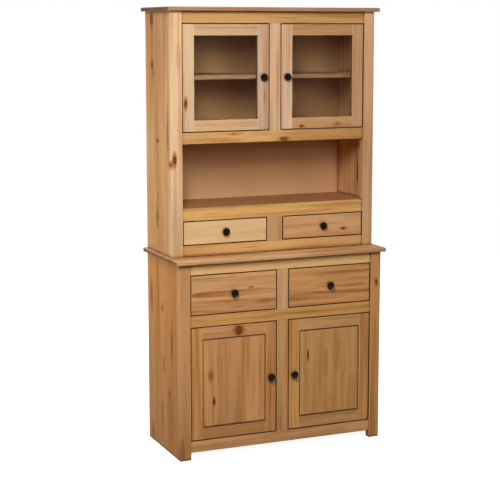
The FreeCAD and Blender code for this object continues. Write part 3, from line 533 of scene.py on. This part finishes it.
    def tint(self, wood: Wood) -> None:
        """Colour the pale wood with rings, clouds, fibres and dashes, each strip a little apart.

        Args:
            wood: The wood so far.
        """
        s, tones = wood.s, wood.board.tones
        _, ring_depth, cloud_depth, dash_depth = wood.board.figure.value
        wander, cloud, fibre, dash = (wood.streaks[streak] for streak in Streak)
        show = (self.ring_least * ring_depth, ring_depth)
        show = s.add("MapRange", cloud, *self.ring_clouds, *show)
        cloud = s.add("MapRange", cloud, *self.clouds, 0.0, cloud_depth, **EASED)
        fibre = s.add("MapRange", fibre, *self.fibres, -self.fibre_depth, self.fibre_depth)
        dash = s.add("MapRange", dash, *self.dashes, 0.0, dash_depth, **EASED)
        deep = s.add("Math", wood.late, show, cloud, operation="MULTIPLY_ADD")
        deep = s.add("Math", fibre, deep, use_clamp=True)
        layers = [(wood.side, tone) for tone in tones[1:]]
        layers += [(deep, self.ring_tone), (dash, self.dash_tone)]
        colour = linear(tones[0])
        for share, tone in layers:
            mixed = {MIX_A: colour, MIX_B: linear(tone)}
            colour = s.add("Mix", share, named=mixed, **MIX_COLOURS)
        luck = s.add("SeparateColor", wood.chance).node.outputs
        value = s.add("Math", luck[0], *self.value, operation="MULTIPLY_ADD")
        value = s.add("Math", wander, self.value_wander, value, operation="MULTIPLY_ADD")
        warmth = s.add("Math", luck[1], *self.warmth, operation="MULTIPLY_ADD")
        wood.colour = s.add("HueSaturation", None, warmth, value, None, colour)

    def stain(self, wood: Wood) -> None:
        """Colour the knots: amber halos, red-brown hearts, and bark round the darkest.

        Args:
            wood: The wood so far.
        """
        s = wood.s
        bark = s.add("MapRange", wood.closest, *self.bark, **EASED)
        heart = {MIX_A: linear(self.heart_tone), MIX_B: linear(self.rim_tone)}
        heart = s.add("Mix", bark, named=heart, **MIX_COLOURS)
        for share, colour in ((wood.halo, linear(self.halo_tone)), (wood.heart, heart)):
            mixed = {MIX_A: wood.colour, MIX_B: colour}
            wood.colour = s.add("Mix", share, named=mixed, **MIX_COLOURS)

    def age(self, wood: Wood) -> None:
        """Darken the end grain, paint the edges pale, partly as rubbed wear and partly as a
        highlight, and paint shade into the creases.

        Args:
            wood: The wood so far.
        """
        s, board = wood.s, wood.board
        normal = s.add("SeparateXYZ", s.add("TexCoord", out="Normal")).node.outputs
        facing = s.add("Math", normal[board.lay.value[0]], operation="ABSOLUTE")
        end = s.add("MapRange", facing, *self.end_facing, 0.0, self.end_share)
        looks = {"out": "AO", "samples": self.samples}
        # Paler convex edges: partly rubbed wear, partly a painted highlight on the arrises
        wear_and_highlight = {"Distance": self.wear_and_highlight_reach}
        wear_and_highlight = s.add("AmbientOcclusion", named=wear_and_highlight, inside=True, only_local=True, **looks)
        wear_and_highlight = s.add("MapRange", wear_and_highlight, *self.wear_and_highlight_open, 0.0, self.wear_and_highlight_share)
        dash = wood.streaks[Streak.DASH]
        patch = s.add("MapRange", dash, *self.wear_and_highlight_dashes, self.wear_and_highlight_least, 1.0)
        wear_and_highlight = s.add("Math", wear_and_highlight, patch, operation="MULTIPLY")
        # Painted shade: the wood darkens where other surfaces close in, in creases, gaps and under
        # overhangs
        crease_shade_mask = s.add("AmbientOcclusion", named={"Distance": self.crease_shade_reach}, **looks)
        crease_shade_mask = s.add("MapRange", crease_shade_mask, *self.crease_shade_open, 0.0, board.crease_shade)
        for share, tone in ((end, self.end_tone), (wear_and_highlight, self.wear_and_highlight_tone), (crease_shade_mask, self.crease_shade_tone)):
            mixed = {MIX_A: wood.colour, MIX_B: linear(tone)}
            wood.colour = s.add("Mix", share, named=mixed, **MIX_COLOURS)


@dataclass(frozen=True)
class Hardboard:
    """Thin pressed fibre board: smooth, matt, light brown, with fine fibres and hardly any cloud.

    Real flecks are under 1 mm. These are drawn as coarse as they need to be to show.

    Attributes:
        pale: Colour between the flecks.
        dark: Colour of the flecks.
        flecks: Pattern of the fibres.
        fleck_share: Their share in the colour.
        clouds: Pattern of the clouds.
        cloud_share: Their share in the colour.
        spread: Values of both together that are told apart.
        relief: The flecks' strength, and their height in m.
        roughness: Of the matt face.
        gloss: How much of its mirror is left.
    """

    pale: str = "E1B385"
    dark: str = "C49566"
    flecks: Noise = Noise(3.0, 3.0)
    fleck_share: float = 0.8
    clouds: Noise = Noise(160.0, 1.0)
    cloud_share: float = 0.2
    spread: Range = (0.3, 0.7)
    relief: Range = (0.2, 0.00008)
    roughness: float = 0.65
    gloss: float = 0.15

    def material(self, name: str) -> bpy.types.Material:
        """Mix fine pressed fibres and slow clouds into one matt board.

        Args:
            name: What the board is.

        Returns:
            The finished material.
        """
        s = Shader(bpy.data.materials.new("hardboard_" + name))
        place = s.add("VectorMath", s.add("TexCoord", out="Object"), PER_MM, operation="MULTIPLY")
        flecks = s.add("TexNoise", place, named=self.flecks.inputs)
        clouds = s.add("TexNoise", place, named=self.clouds.inputs)
        share = s.add("Math", flecks, self.fleck_share, operation="MULTIPLY")
        share = s.add("Math", clouds, self.cloud_share, share, operation="MULTIPLY_ADD")
        share = s.add("MapRange", share, *self.spread)
        mixed = {MIX_A: linear(self.pale), MIX_B: linear(self.dark)}
        look = {
            "Base Color": s.add("Mix", share, named=mixed, **MIX_COLOURS),
            "Roughness": self.roughness,
            "Specular IOR Level": self.gloss,
            "Normal": s.add("Bump", *self.relief, named={"Height": flecks}),
        }
        s.add("OutputMaterial", s.add("BsdfPrincipled", named=look))
        return s.owner


@dataclass(frozen=True)
class WindowGlass:
    """Drawn sheet glass: clear with a grey-brown cast, faintly wavy, lighting the cabinet behind.

    Attributes:
        tint: Cast of what is seen through it.
        shade: Cast of the light that comes through it.
        ior: Kept low, so that the panes mirror little of the white room.
        roughness: Of the polished faces.
        waves: Pattern of the waves.
        relief: Their strength, and their height in m.
    """

    tint: str = "D6D5D3"
    shade: str = "C0BFBC"
    ior: float = 1.12
    roughness: float = 0.01
    waves: Noise = Noise(250.0, 1.0)
    relief: Range = (0.04, 0.002)

    def material(self) -> bpy.types.Material:
        """Mix clear refracting glass with a see-through shade for shadow rays.

        Returns:
            The finished material.
        """
        s = Shader(bpy.data.materials.new("window_glass"))
        place = s.add("VectorMath", s.add("TexCoord", out="Object"), PER_MM, operation="MULTIPLY")
        waves = s.add("TexNoise", place, named=self.waves.inputs)
        look = {
            "Base Color": linear(self.tint),
            "Roughness": self.roughness,
            "IOR": self.ior,
            "Normal": s.add("Bump", *self.relief, named={"Height": waves}),
            "Transmission Weight": 1.0,
        }
        glass = s.add("BsdfPrincipled", named=look)
        clear = s.add("BsdfTransparent", linear(self.shade))
        shadow = s.add("LightPath", out="Is Shadow Ray")
        s.add("OutputMaterial", s.add("MixShader", shadow, glass, clear))
        return s.owner


@dataclass(frozen=True)
class DarkMetal:
    """Cast metal knobs under a black-brown lacquer, rubbed in small patches, with a soft highlight.

    Attributes:
        lacquer: Colour of the lacquer.
        rubbed: Colour of the rubbed patches.
        patches: Pattern of the patches.
        rubbing: Its values between which the lacquer is rubbed away.
        sheen: Its values between which the roughness changes.
        roughness: Of whole and of rubbed lacquer.
        gloss: How much of the lacquer's mirror is left.
    """

    lacquer: str = "080706"
    rubbed: str = "15110E"
    patches: Noise = Noise(9.0, 3.0)
    rubbing: Range = (0.5, 0.7)
    sheen: Range = (0.3, 0.7)
    roughness: Range = (0.5, 0.34)
    gloss: float = 0.1

    def material(self) -> bpy.types.Material:
        """Cloud the lacquer with small rubbed patches.

        Returns:
            The finished material.
        """
        s = Shader(bpy.data.materials.new("dark_lacquered_metal"))
        place = s.add("VectorMath", s.add("TexCoord", out="Object"), PER_MM, operation="MULTIPLY")
        patches = s.add("TexNoise", place, named=self.patches.inputs)
        share = s.add("MapRange", patches, *self.rubbing)
        mixed = {MIX_A: linear(self.lacquer), MIX_B: linear(self.rubbed)}
        look = {
            "Base Color": s.add("Mix", share, named=mixed, **MIX_COLOURS),
            "Roughness": s.add("MapRange", patches, *self.sheen, *self.roughness),
            "Specular IOR Level": self.gloss,
        }
        s.add("OutputMaterial", s.add("BsdfPrincipled", named=look))
        return s.owner


@dataclass(frozen=True)
class Steel:
    """Drawn steel wire, bright or blackened, with fine lines along its length.

    Real drawing lines are far finer. These are drawn as coarse as they need to be to show.

    Attributes:
        name: What the steel is called.
        bright: Colour between the lines.
        dull: Colour of the lines.
        roughness: Between the lines and on them.
        lines: Pattern of the lines.
        line_draw: What draws them out along the wire.
        sheen: Values between which the roughness changes.
    """

    name: str
    bright: str
    dull: str
    roughness: Range
    lines: Noise = Noise(0.6, 2.0)
    line_draw: float = 0.05
    sheen: Range = (0.3, 0.7)

    def material(self) -> bpy.types.Material:
        """Lay fine drawn lines over steel.

        Returns:
            The finished material.
        """
        s = Shader(bpy.data.materials.new(self.name))
        scale = (1 / MM, 1 / MM, self.line_draw / MM)
        place = s.add("VectorMath", s.add("TexCoord", out="Object"), scale, operation="MULTIPLY")
        lines = s.add("TexNoise", place, named=self.lines.inputs)
        mixed = {MIX_A: linear(self.bright), MIX_B: linear(self.dull)}
        look = {
            "Base Color": s.add("Mix", lines, named=mixed, **MIX_COLOURS),
            "Roughness": s.add("MapRange", lines, *self.sheen, *self.roughness),
            "Metallic": 1.0,
        }
        s.add("OutputMaterial", s.add("BsdfPrincipled", named=look))
        return s.owner


PINE = WaxedPine()
HARDBOARD = Hardboard()
GLASS = WindowGlass().material()
KNOB_METAL = DarkMetal().material()
BRIGHT_STEEL = Steel("drawn_steel", "B9BABB", "8E8F91", (0.27, 0.42)).material()
BLACK_STEEL = Steel("blackened_steel", "2E2B29", "1E1C1B", (0.45, 0.6)).material()


def paint(name: str, material: bpy.types.Material) -> None:
    """Give one CAD node its material.

    Args:
        name: The CAD node.
        material: What it is made of.
    """
    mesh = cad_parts[name].data
    mesh.materials.clear()
    mesh.materials.append(material)
    LOG.info("%s wears %s", name, material.name)


def paint_boards(boards: dict[str, Board], body: str = "") -> None:
    """Give CAD nodes their wood.

    Args:
        boards: The boards by node, or by the end of the node's name where a body is given.
        body: The CAD body whose name and an underscore come before.
    """
    for part, board in boards.items():
        name = f"{body}_{part}" if body else part
        paint(name, PINE.material(name, board))


def mesh_piece(
    name: str, points: np.ndarray, faces: np.ndarray, material: bpy.types.Material
) -> bpy.types.Object:
    """Put a worked-out surface into a smooth mesh object at the origin.

    Args:
        name: The piece's name.
        points: Vertices in metres, one row each.
        faces: Corner numbers, one row for each four-sided face.
        material: What it is made of.

    Returns:
        The new object, linked to the scene.
    """
    mesh = bpy.data.meshes.new(name)
    mesh.from_pydata(points.tolist(), [], faces.tolist())
    mesh.materials.append(material)
    mesh.polygons.foreach_set("use_smooth", np.ones(len(mesh.polygons), bool))
    mesh.update()
    piece = bpy.data.objects.new(name, mesh)
    bpy.context.scene.collection.objects.link(piece)
    LOG.info("%s has %d faces", name, len(faces))
    return piece


PAIR = Cut(Axis.X)
# Widths of the glued strips, in mm
SHELF_STRIP = 68.0
SIDE_STRIP = 58.0
PANEL_STRIP = 74.0
# How dark the wax is in the deep grooves beside the rails, and in the shallow ones round a panel
RAIL_CREASE_SHADE = 0.95
PANEL_CREASE_SHADE = 0.4


@dataclass
class BaseUnit:
    """The deeper lower unit: posts, rails, mullions, side panels, top and floor."""

    boards: dict[str, Board] = field(default_factory=lambda: {
        "base_top": Board(Lay.SHELF, ("D3A87A",), strip=SHELF_STRIP, knots=(
            Knot(330, -200, 110, 60, 0.3),
        )),
        # The left side's tone is deeper and more orange than the right's; part of that is painted
        # shade from the low light on the lower left
        "base_sides": Board(Lay.SIDE, ("CC8F52", "DFA870"), PAIR, SIDE_STRIP, Figure.QUIET, (
            Knot(618, 150, 40, 13, 0.6), Knot(589, 19, 10, 12, 0.6), Knot(354, 8, 18, 14, 0.45),
            Knot(455, -91, 45, 11, 0.62), Knot(245, -61, 14, 12, 0.65), Knot(160, -62, 60, 26, 0.4),
            Knot(140, 28, 45, 11, 0.5), Knot(36, 145, 26, 18, 0.55),
        )),
        "base_posts": Board(Lay.POST, ("CD9867", "D49C61"), PAIR, knots=(
            Knot(28, -439, 30, 12, 0.5), Knot(667, 428, 9, 6, 0.9, 1),
        )),
        # This rail's tone is paler than the other rails' partly to lift the shadow the base top
        # casts on it: painted light
        "base_top_rail": Board(Lay.RAIL, ("F7C587",), figure=Figure.CALM, crease_shade=RAIL_CREASE_SHADE),
        "base_mid_rail": Board(Lay.RAIL, ("DCA05E",), crease_shade=RAIL_CREASE_SHADE),
        "base_bottom_rail": Board(Lay.RAIL, ("EDB276",), crease_shade=RAIL_CREASE_SHADE),
        "base_mullions": Board(
            Lay.POST, ("CD9965", "E5B485"), Cut(Axis.Z, 564.0), figure=Figure.QUIET
        ),
        "base_floor": Board(Lay.SHELF, ("D9AB78",), strip=SHELF_STRIP),
    })

    def dress(self) -> None:
        """Give the lower unit's boards their wood and its back its hardboard."""
        paint_boards(self.boards)
        paint("base_back", HARDBOARD.material("base_back"))


@dataclass
class UpperUnit:
    """The shallower upper unit: glazed cabinet, open niche and drawer row."""

    boards: dict[str, Board] = field(default_factory=lambda: {
        "upper_top": Board(Lay.SHELF, ("AA8B6E",), strip=SHELF_STRIP),
        "upper_sides": Board(Lay.SIDE, ("D2A26F", "E6B27C"), PAIR, SIDE_STRIP, Figure.QUIET, (
            Knot(1750, 118, 20, 18, 0.8), Knot(1572, 118, 13, 11, 0.85),
            Knot(1540, 102, 24, 12, 0.5), Knot(1305, -70, 60, 15, 0.62),
            Knot(1268, 56, 6, 17, 0.7), Knot(956, 70, 26, 12, 0.6), Knot(1112, 6, 40, 7, 0.85, 1),
        )),
        "upper_posts": Board(Lay.POST, ("DCB78E", "D9AB80"), PAIR, figure=Figure.QUIET, knots=(
            Knot(1202, -434, 16, 8, 0.95), Knot(1184, -446, 10, 4, 0.75),
            Knot(1606, -416, 26, 9, 0.28),
        )),
        "upper_top_rail": Board(Lay.RAIL, ("C6975C",), crease_shade=RAIL_CREASE_SHADE),
        "upper_door_rail": Board(Lay.RAIL, ("D9A76D",), knots=(
            Knot(41, 1271, 15, 10, 0.85), Knot(-177, 1298, 16, 5, 0.5),
            Knot(270, 1284, 110, 30, 0.34),
        ), crease_shade=RAIL_CREASE_SHADE),
        "niche_rail": Board(Lay.RAIL, ("E9B26B",), crease_shade=RAIL_CREASE_SHADE),
        "upper_bottom_rail": Board(Lay.RAIL, ("DAAB6E",), crease_shade=RAIL_CREASE_SHADE),
        "upper_mullions": Board(
            Lay.POST, ("D09F6C", "DBB38C"), Cut(Axis.Z, 1150.0), figure=Figure.QUIET
        ),
        "cabinet_floor": Board(Lay.SHELF, ("D2A272",), strip=SHELF_STRIP),
        "niche_board": Board(Lay.SHELF, ("B38156",), strip=SHELF_STRIP),
        "cabinet_shelf": Board(Lay.SHELF, ("C59F76",), strip=SHELF_STRIP, knots=(
            Knot(250, -62, 100, 60, 0.3),
        )),
    })

    def dress(self) -> None:
        """Give the upper unit's boards their wood and its back its hardboard."""
        paint_boards(self.boards)
        paint("upper_back", HARDBOARD.material("upper_back"))


@dataclass
class Fittings:
    """The joining pieces: dowels, runners, shelf pins, door pivots and the pins in the backs."""

    # The three faces that close the top of a pin's head with eight sides
    CROWN: ClassVar[tuple[tuple[int, ...], ...]] = ((3, 2, 1, 0), (7, 4, 3, 0), (7, 6, 5, 4))

    wooden: dict[str, Board] = field(default_factory=lambda: {
        "drawer_runners": Board(Lay.RUNNER, ("D6AA78",), PAIR, figure=Figure.QUIET),
        "joint_dowels": Board(Lay.POST, ("DDBE94",), figure=Figure.QUIET),
    })
    steel: dict[str, bpy.types.Material] = field(default_factory=lambda: {
        "shelf_pins": BRIGHT_STEEL, "pivot_pins": BLACK_STEEL,
    })
    backs: tuple[str, ...] = ("base_back", "upper_back")
    # A pin's head: radius and height in mm
    pin_radius: float = 2.4
    pin_height: float = 0.9
    # From a back's side to its pins, from its ends to the next, and the least between two, in mm
    pin_inset: float = 5.0
    pin_margin: float = 15.0
    pin_step: float = 118.0
    # Where the head's crown begins, in radians, its rings of points, and the points in each
    pin_crown: float = 0.12
    pin_rings: int = 4
    pin_sides: int = 8

    def dress(self) -> None:
        """Give dowels and runners their wood and the pins their steel, and nail on the backs."""
        paint_boards(self.wooden)
        for name, material in self.steel.items():
            paint(name, material)
        for name in self.backs:
            self.nail(name)

    def nail(self, back: str) -> None:
        """Set a row of panel pins along each upright edge of a back.

        Each head is a dome: the radius grows as the sine and the height falls as the cosine of one
        parameter, and the other goes round.

        Args:
            back: The CAD node of the back.
        """
        low, high = (np.array(corner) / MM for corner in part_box(back))
        count = int((high[2] - low[2]) // self.pin_step)
        heights = np.linspace(low[2] + self.pin_margin, high[2] - self.pin_margin, count + 1)
        edges = [low[0] + self.pin_inset, high[0] - self.pin_inset]
        x, z = np.meshgrid(edges, heights, indexing="ij")
        seat = np.stack([x, np.full_like(x, high[1]), z], -1).reshape(-1, 1, 3)
        bow, turn = np.meshgrid(
            np.linspace(self.pin_crown, np.pi / 2, self.pin_rings),
            np.arange(self.pin_sides) * 2 * np.pi / self.pin_sides,
            indexing="ij",
        )
        out = self.pin_radius * np.sin(bow)
        dome = [out * np.cos(turn), self.pin_height * np.cos(bow), out * np.sin(turn)]
        points = (seat + np.stack(dome, -1).reshape(1, -1, 3)) * MM
        ring, step = np.meshgrid(
            np.arange(self.pin_rings - 1), np.arange(self.pin_sides), indexing="ij"
        )
        inner = ring * self.pin_sides
        outer = inner + self.pin_sides
        after = (step + 1) % self.pin_sides
        quads = np.stack([inner + step, inner + after, outer + after, outer + step], -1)
        quads = np.concatenate([quads.reshape(-1, 4), np.array(self.CROWN)])
        first = np.arange(len(seat)).reshape(-1, 1, 1) * self.pin_rings * self.pin_sides
        faces = (first + quads).reshape(-1, 4)
        heads = mesh_piece(back + "_panel_pins", points.reshape(-1, 3), faces, BRIGHT_STEEL)
        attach(heads, "carcass")


@dataclass
class Door:
    """What both kinds of door share: two stiles, two rails and a knob.

    Attributes:
        MIDDLE: The right door's middle, from the part's middle and from the floor, in mm.
        name: The door's CAD body.
        stile: Tones of the stiles, left to right.
        rail: Tones of the bottom and top rail.
        stile_knots: Knots of the stiles.
        rail_knots: Knots of the rails.
    """

    MIDDLE: ClassVar[Range]

    name: str
    stile: tuple[str, str]
    rail: tuple[str, str]
    stile_knots: tuple[Knot, ...] = ()
    rail_knots: tuple[Knot, ...] = ()

    def lay_out(self, figure: Figure) -> dict[str, Board]:
        """Lay out the door's frame.

        Args:
            figure: How strongly the stiles' rings show.

        Returns:
            Its boards by the end of the node's name.
        """
        x, z = self.MIDDLE
        upright = Cut(Axis.X, -x if self.name.startswith("left") else x)
        level = Cut(Axis.Z, z)
        return {
            "stiles": Board(Lay.POST, self.stile, upright, 0.0, figure, self.stile_knots),
            "rails": Board(Lay.RAIL, self.rail, level, 0.0, Figure.QUIET, self.rail_knots),
        }


@dataclass
class GlassDoor(Door):
    """One glazed door: its frame, and a pane held by beads that are cut from the stiles' wood."""

    MIDDLE: ClassVar[Range] = (212.5, 1522.5)

    def dress(self) -> None:
        """Give the door's frame and beads their wood, and set its glass and knob."""
        boards = self.lay_out(Figure.QUIET)
        boards["beads"] = replace(boards["stiles"], knots=())
        paint_boards(boards, self.name)
        paint(self.name + "_pane", GLASS)
        paint(self.name + "_knob", KNOB_METAL)


@dataclass
class PanelDoor(Door):
    """One panel door: its frame and a fielded panel of glued strips, with a tone and knots."""

    MIDDLE: ClassVar[Range] = (213.0, 308.0)

    panel: str = field(kw_only=True)
    panel_knots: tuple[Knot, ...] = ()

    def dress(self) -> None:
        """Give the door's frame and panel their wood, and set its knob."""
        boards = self.lay_out(Figure.PLAIN)
        boards["panel"] = Board(
            Lay.POST, (self.panel,), None, PANEL_STRIP, Figure.QUIET, self.panel_knots, PANEL_CREASE_SHADE
        )
        paint_boards(boards, self.name)
        paint(self.name + "_knob", KNOB_METAL)


@dataclass
class Drawer:
    """One drawer: a whole-board front, a box of thin boards, a hardboard bottom and its knob.

    Attributes:
        name: The drawer's CAD body.
        tone: Tone of the front.
        figure: How strongly the front's rings show.
        knots: Knots of the front.
        box_tone: Tone of the box.
    """

    name: str
    tone: str
    figure: Figure
    knots: tuple[Knot, ...] = ()
    box_tone: str = "DDB88A"

    def dress(self) -> None:
        """Give the front and box their wood, the bottom its hardboard, and set the knob."""
        paint_boards({
            "front": Board(Lay.RAIL, (self.tone,), figure=self.figure, knots=self.knots),
            "box": Board(Lay.RUNNER, (self.box_tone,), figure=Figure.QUIET),
        }, self.name)
        paint(self.name + "_bottom", HARDBOARD.material(self.name + "_bottom"))
        paint(self.name + "_knob", KNOB_METAL)


@dataclass
class Lamp:
    """One soft box: where it stands, what it looks at, its size in metres and its power."""

    name: str
    place: Triple
    aim: Triple
    width: float
    height: float
    watts: float

    def build(self) -> None:
        """Hang the lamp and turn it to its aim."""
        light = bpy.data.lights.new(self.name, "AREA")
        light.shape = "RECTANGLE"
        light.size, light.size_y, light.energy = self.width, self.height, self.watts
        lamp = bpy.data.objects.new(self.name, light)
        lamp.location = self.place
        lamp.visible_glossy = False
        look = np.subtract(self.aim, self.place)
        rise = math.atan2(look[2], float(np.hypot(look[0], look[1])))
        lamp.rotation_euler = (math.pi / 2 + rise, 0.0, -math.atan2(look[0], look[1]))
        bpy.context.scene.collection.objects.link(lamp)


@dataclass
class Studio:
    """White room: pale floor, soft lamps, even sky, and the camera at the photograph's angle."""

    # The floor: half its width, and how far it lies under the part, in m
    floor_reach: float = 14.0
    floor_drop: float = 0.0006
    # Its colour to the light on the part, and what light on it adds to its white for the eye
    floor_tone: str = "A3A19E"
    floor_seen: str = "E7E7E7"
    # How far from the part's middle its white begins to grow and is full, in m, and how white it is
    floor_fade: Range = (1.5, 7.0)
    floor_white: Range = (0.94, 1.0)
    # How bright the sky is to the part
    sky: float = 0.02
    # The camera: focal length and film width in mm, and how far it sees in m
    lens: float = 97.81
    sensor: float = 36.0
    sight: float = 100.0
    # Where it stands in m, its turn right and up in degrees, and its shift in film widths
    eye: Triple = (-2.2527, -5.1144, 1.7116)
    yaw: float = 23.13
    pitch: float = -7.98
    shift: float = -0.06
    lamps: tuple[Lamp, ...] = (
        Lamp("key_soft_box", (-1.15, -1.88, 2.4), (0.0, -0.1, 1.15), 0.42, 0.9, 45.0),
        Lamp("front_fill_box", (0.15, -2.68, 2.02), (0.0, -0.1, 1.1), 0.18, 0.8, 18.0),
        Lamp("left_soft_box", (-1.7, 0.3, 1.15), (-0.4, 0.05, 1.12), 0.7, 0.7, 11.0),
        Lamp("right_soft_box", (2.7, 0.75, 1.5), (0.4, 0.1, 1.05), 1.2, 1.4, 38.0),
        Lamp("back_soft_box", (-0.2, 2.9, 1.9), (0.0, 0.2, 1.0), 1.3, 1.3, 44.0),
        Lamp("top_soft_box", (-0.1, -0.2, 4.3), (0.0, 0.0, 1.8), 1.2, 1.2, 25.0),
    )

    def build(self) -> None:
        """Lay the floor, light the room and set the camera."""
        self.lay_floor()
        self.light_sky()
        for lamp in self.lamps:
            lamp.build()
        self.set_camera()

    def lay_floor(self) -> None:
        """Spread the floor as one level square: its two parameters are x and y over the room."""
        ends = [-self.floor_reach, self.floor_reach]
        x, y = np.meshgrid(ends, ends)
        points = np.stack([x, y, np.full_like(x, -self.floor_drop)], -1).reshape(-1, 3)
        face = np.array([[0, 1, 3, 2]])
        mesh_piece("pale_floor", points, face, self.floor_material())

    def floor_material(self) -> bpy.types.Material:
        """Make a matt pale floor that reads white to eye, mirrors and glass, and keeps a shadow.

        Returns:
            The finished material.
        """
        s = Shader(bpy.data.materials.new("pale_studio_floor"))
        matt = s.add("BsdfDiffuse", linear(self.floor_tone))
        way = s.add("VectorMath", s.add("TexCoord", out="Object"), operation="LENGTH", out="Value")
        glow = s.add("MapRange", way, *self.floor_fade, *self.floor_white)
        white = s.add("Emission", linear(WHITE), glow)
        bright = s.add("AddShader", s.add("BsdfDiffuse", linear(self.floor_seen)), white)
        s.add("OutputMaterial", s.add("MixShader", self.seen(s), matt, bright))
        return s.owner

    def seen(self, s: Shader) -> Any:
        """Tell rays straight from the eye, a mirror or glass, 1, from those that light the part, 0.

        Args:
            s: The shader being built.

        Returns:
            The socket with that number.
        """
        rays = s.add("LightPath").node.outputs
        straight = s.add("Math", rays["Is Camera Ray"], rays["Is Glossy Ray"], operation="MAXIMUM")
        straight = s.add("Math", straight, rays["Is Transmission Ray"], operation="MAXIMUM")
        bounces = rays["Diffuse Depth"]
        return s.add("Math", straight, bounces, operation="SUBTRACT", use_clamp=True)

    def light_sky(self) -> None:
        """Fill the room with even light that reads white to the eye."""
        world = bpy.data.worlds.new("white_room")
        bpy.context.scene.world = world
        s = Shader(world)
        glow = s.add("MapRange", self.seen(s), 0.0, 1.0, self.sky, 1.0)
        s.add("OutputWorld", s.add("Background", linear(WHITE), glow))

    def set_camera(self) -> None:
        """Stand the camera where the photograph was taken."""
        lens = bpy.data.cameras.new("photograph_view")
        lens.lens, lens.sensor_width, lens.shift_y = self.lens, self.sensor, self.shift
        lens.clip_end = self.sight
        camera = bpy.data.objects.new("photograph_view", lens)
        camera.location = self.eye
        camera.rotation_euler = (math.radians(90 + self.pitch), 0.0, -math.radians(self.yaw))
        bpy.context.scene.collection.objects.link(camera)
        bpy.context.scene.camera = camera


DOORS = (
    GlassDoor("left_glass_door", ("D0AF8B", "D0B091"), ("D5AD7F", "C7A47C"), stile_knots=(
        Knot(1422, -385, 14, 7, 0.9), Knot(1446, -46, 14, 4, 0.45, 1),
    )),
    GlassDoor("right_glass_door", ("D7B594", "D2A175"), ("CC9B6A", "C79562"), rail_knots=(
        Knot(119, 1321, 7, 6, 0.9), Knot(281, 1325, 12, 8, 0.55),
    )),
    PanelDoor("left_panel_door", ("DAA061", "E2A16B"), ("C38D5D", "F0B377"), rail_knots=(
        Knot(-193, 515, 13, 19, 0.9, 1),
    ), panel_knots=(
        Knot(337, -314, 14, 9, 0.6), Knot(231, -301, 12, 6, 0.9),
    ), panel="D9A06A"),
    PanelDoor("right_panel_door", ("E3A661", "E1A567"), ("DBA76E", "D6A26D"), panel_knots=(
        Knot(382, 116, 13, 5, 0.95), Knot(394, 250, 40, 14, 0.38), Knot(340, 199, 30, 10, 0.35),
    ), panel="DAA166"),
)
DRAWERS = (
    Drawer("left_upper_drawer", "F3C990", Figure.CALM),
    Drawer("right_upper_drawer", "D8A572", Figure.QUIET, (Knot(315, 889, 8, 5, 0.9),)),
    Drawer("left_base_drawer", "E0A975", Figure.LIVELY, (
        Knot(-70, 628, 36, 9, 0.55), Knot(-138, 687, 7, 3, 0.75), Knot(-215, 610, 90, 24, 0.24),
    )),
    Drawer("right_base_drawer", "D89F64", Figure.LIVELY),
)


def main() -> None:
    """Dress each sub-assembly in turn, then light and frame it."""
    logging.basicConfig(level=logging.INFO, format="%(message)s")
    bpy.context.scene.view_settings.view_transform = "Standard"
    for assembly in (BaseUnit(), UpperUnit(), Fittings(), *DOORS, *DRAWERS):
        assembly.dress()
    Studio().build()


if __name__ == "__main__":
    main()
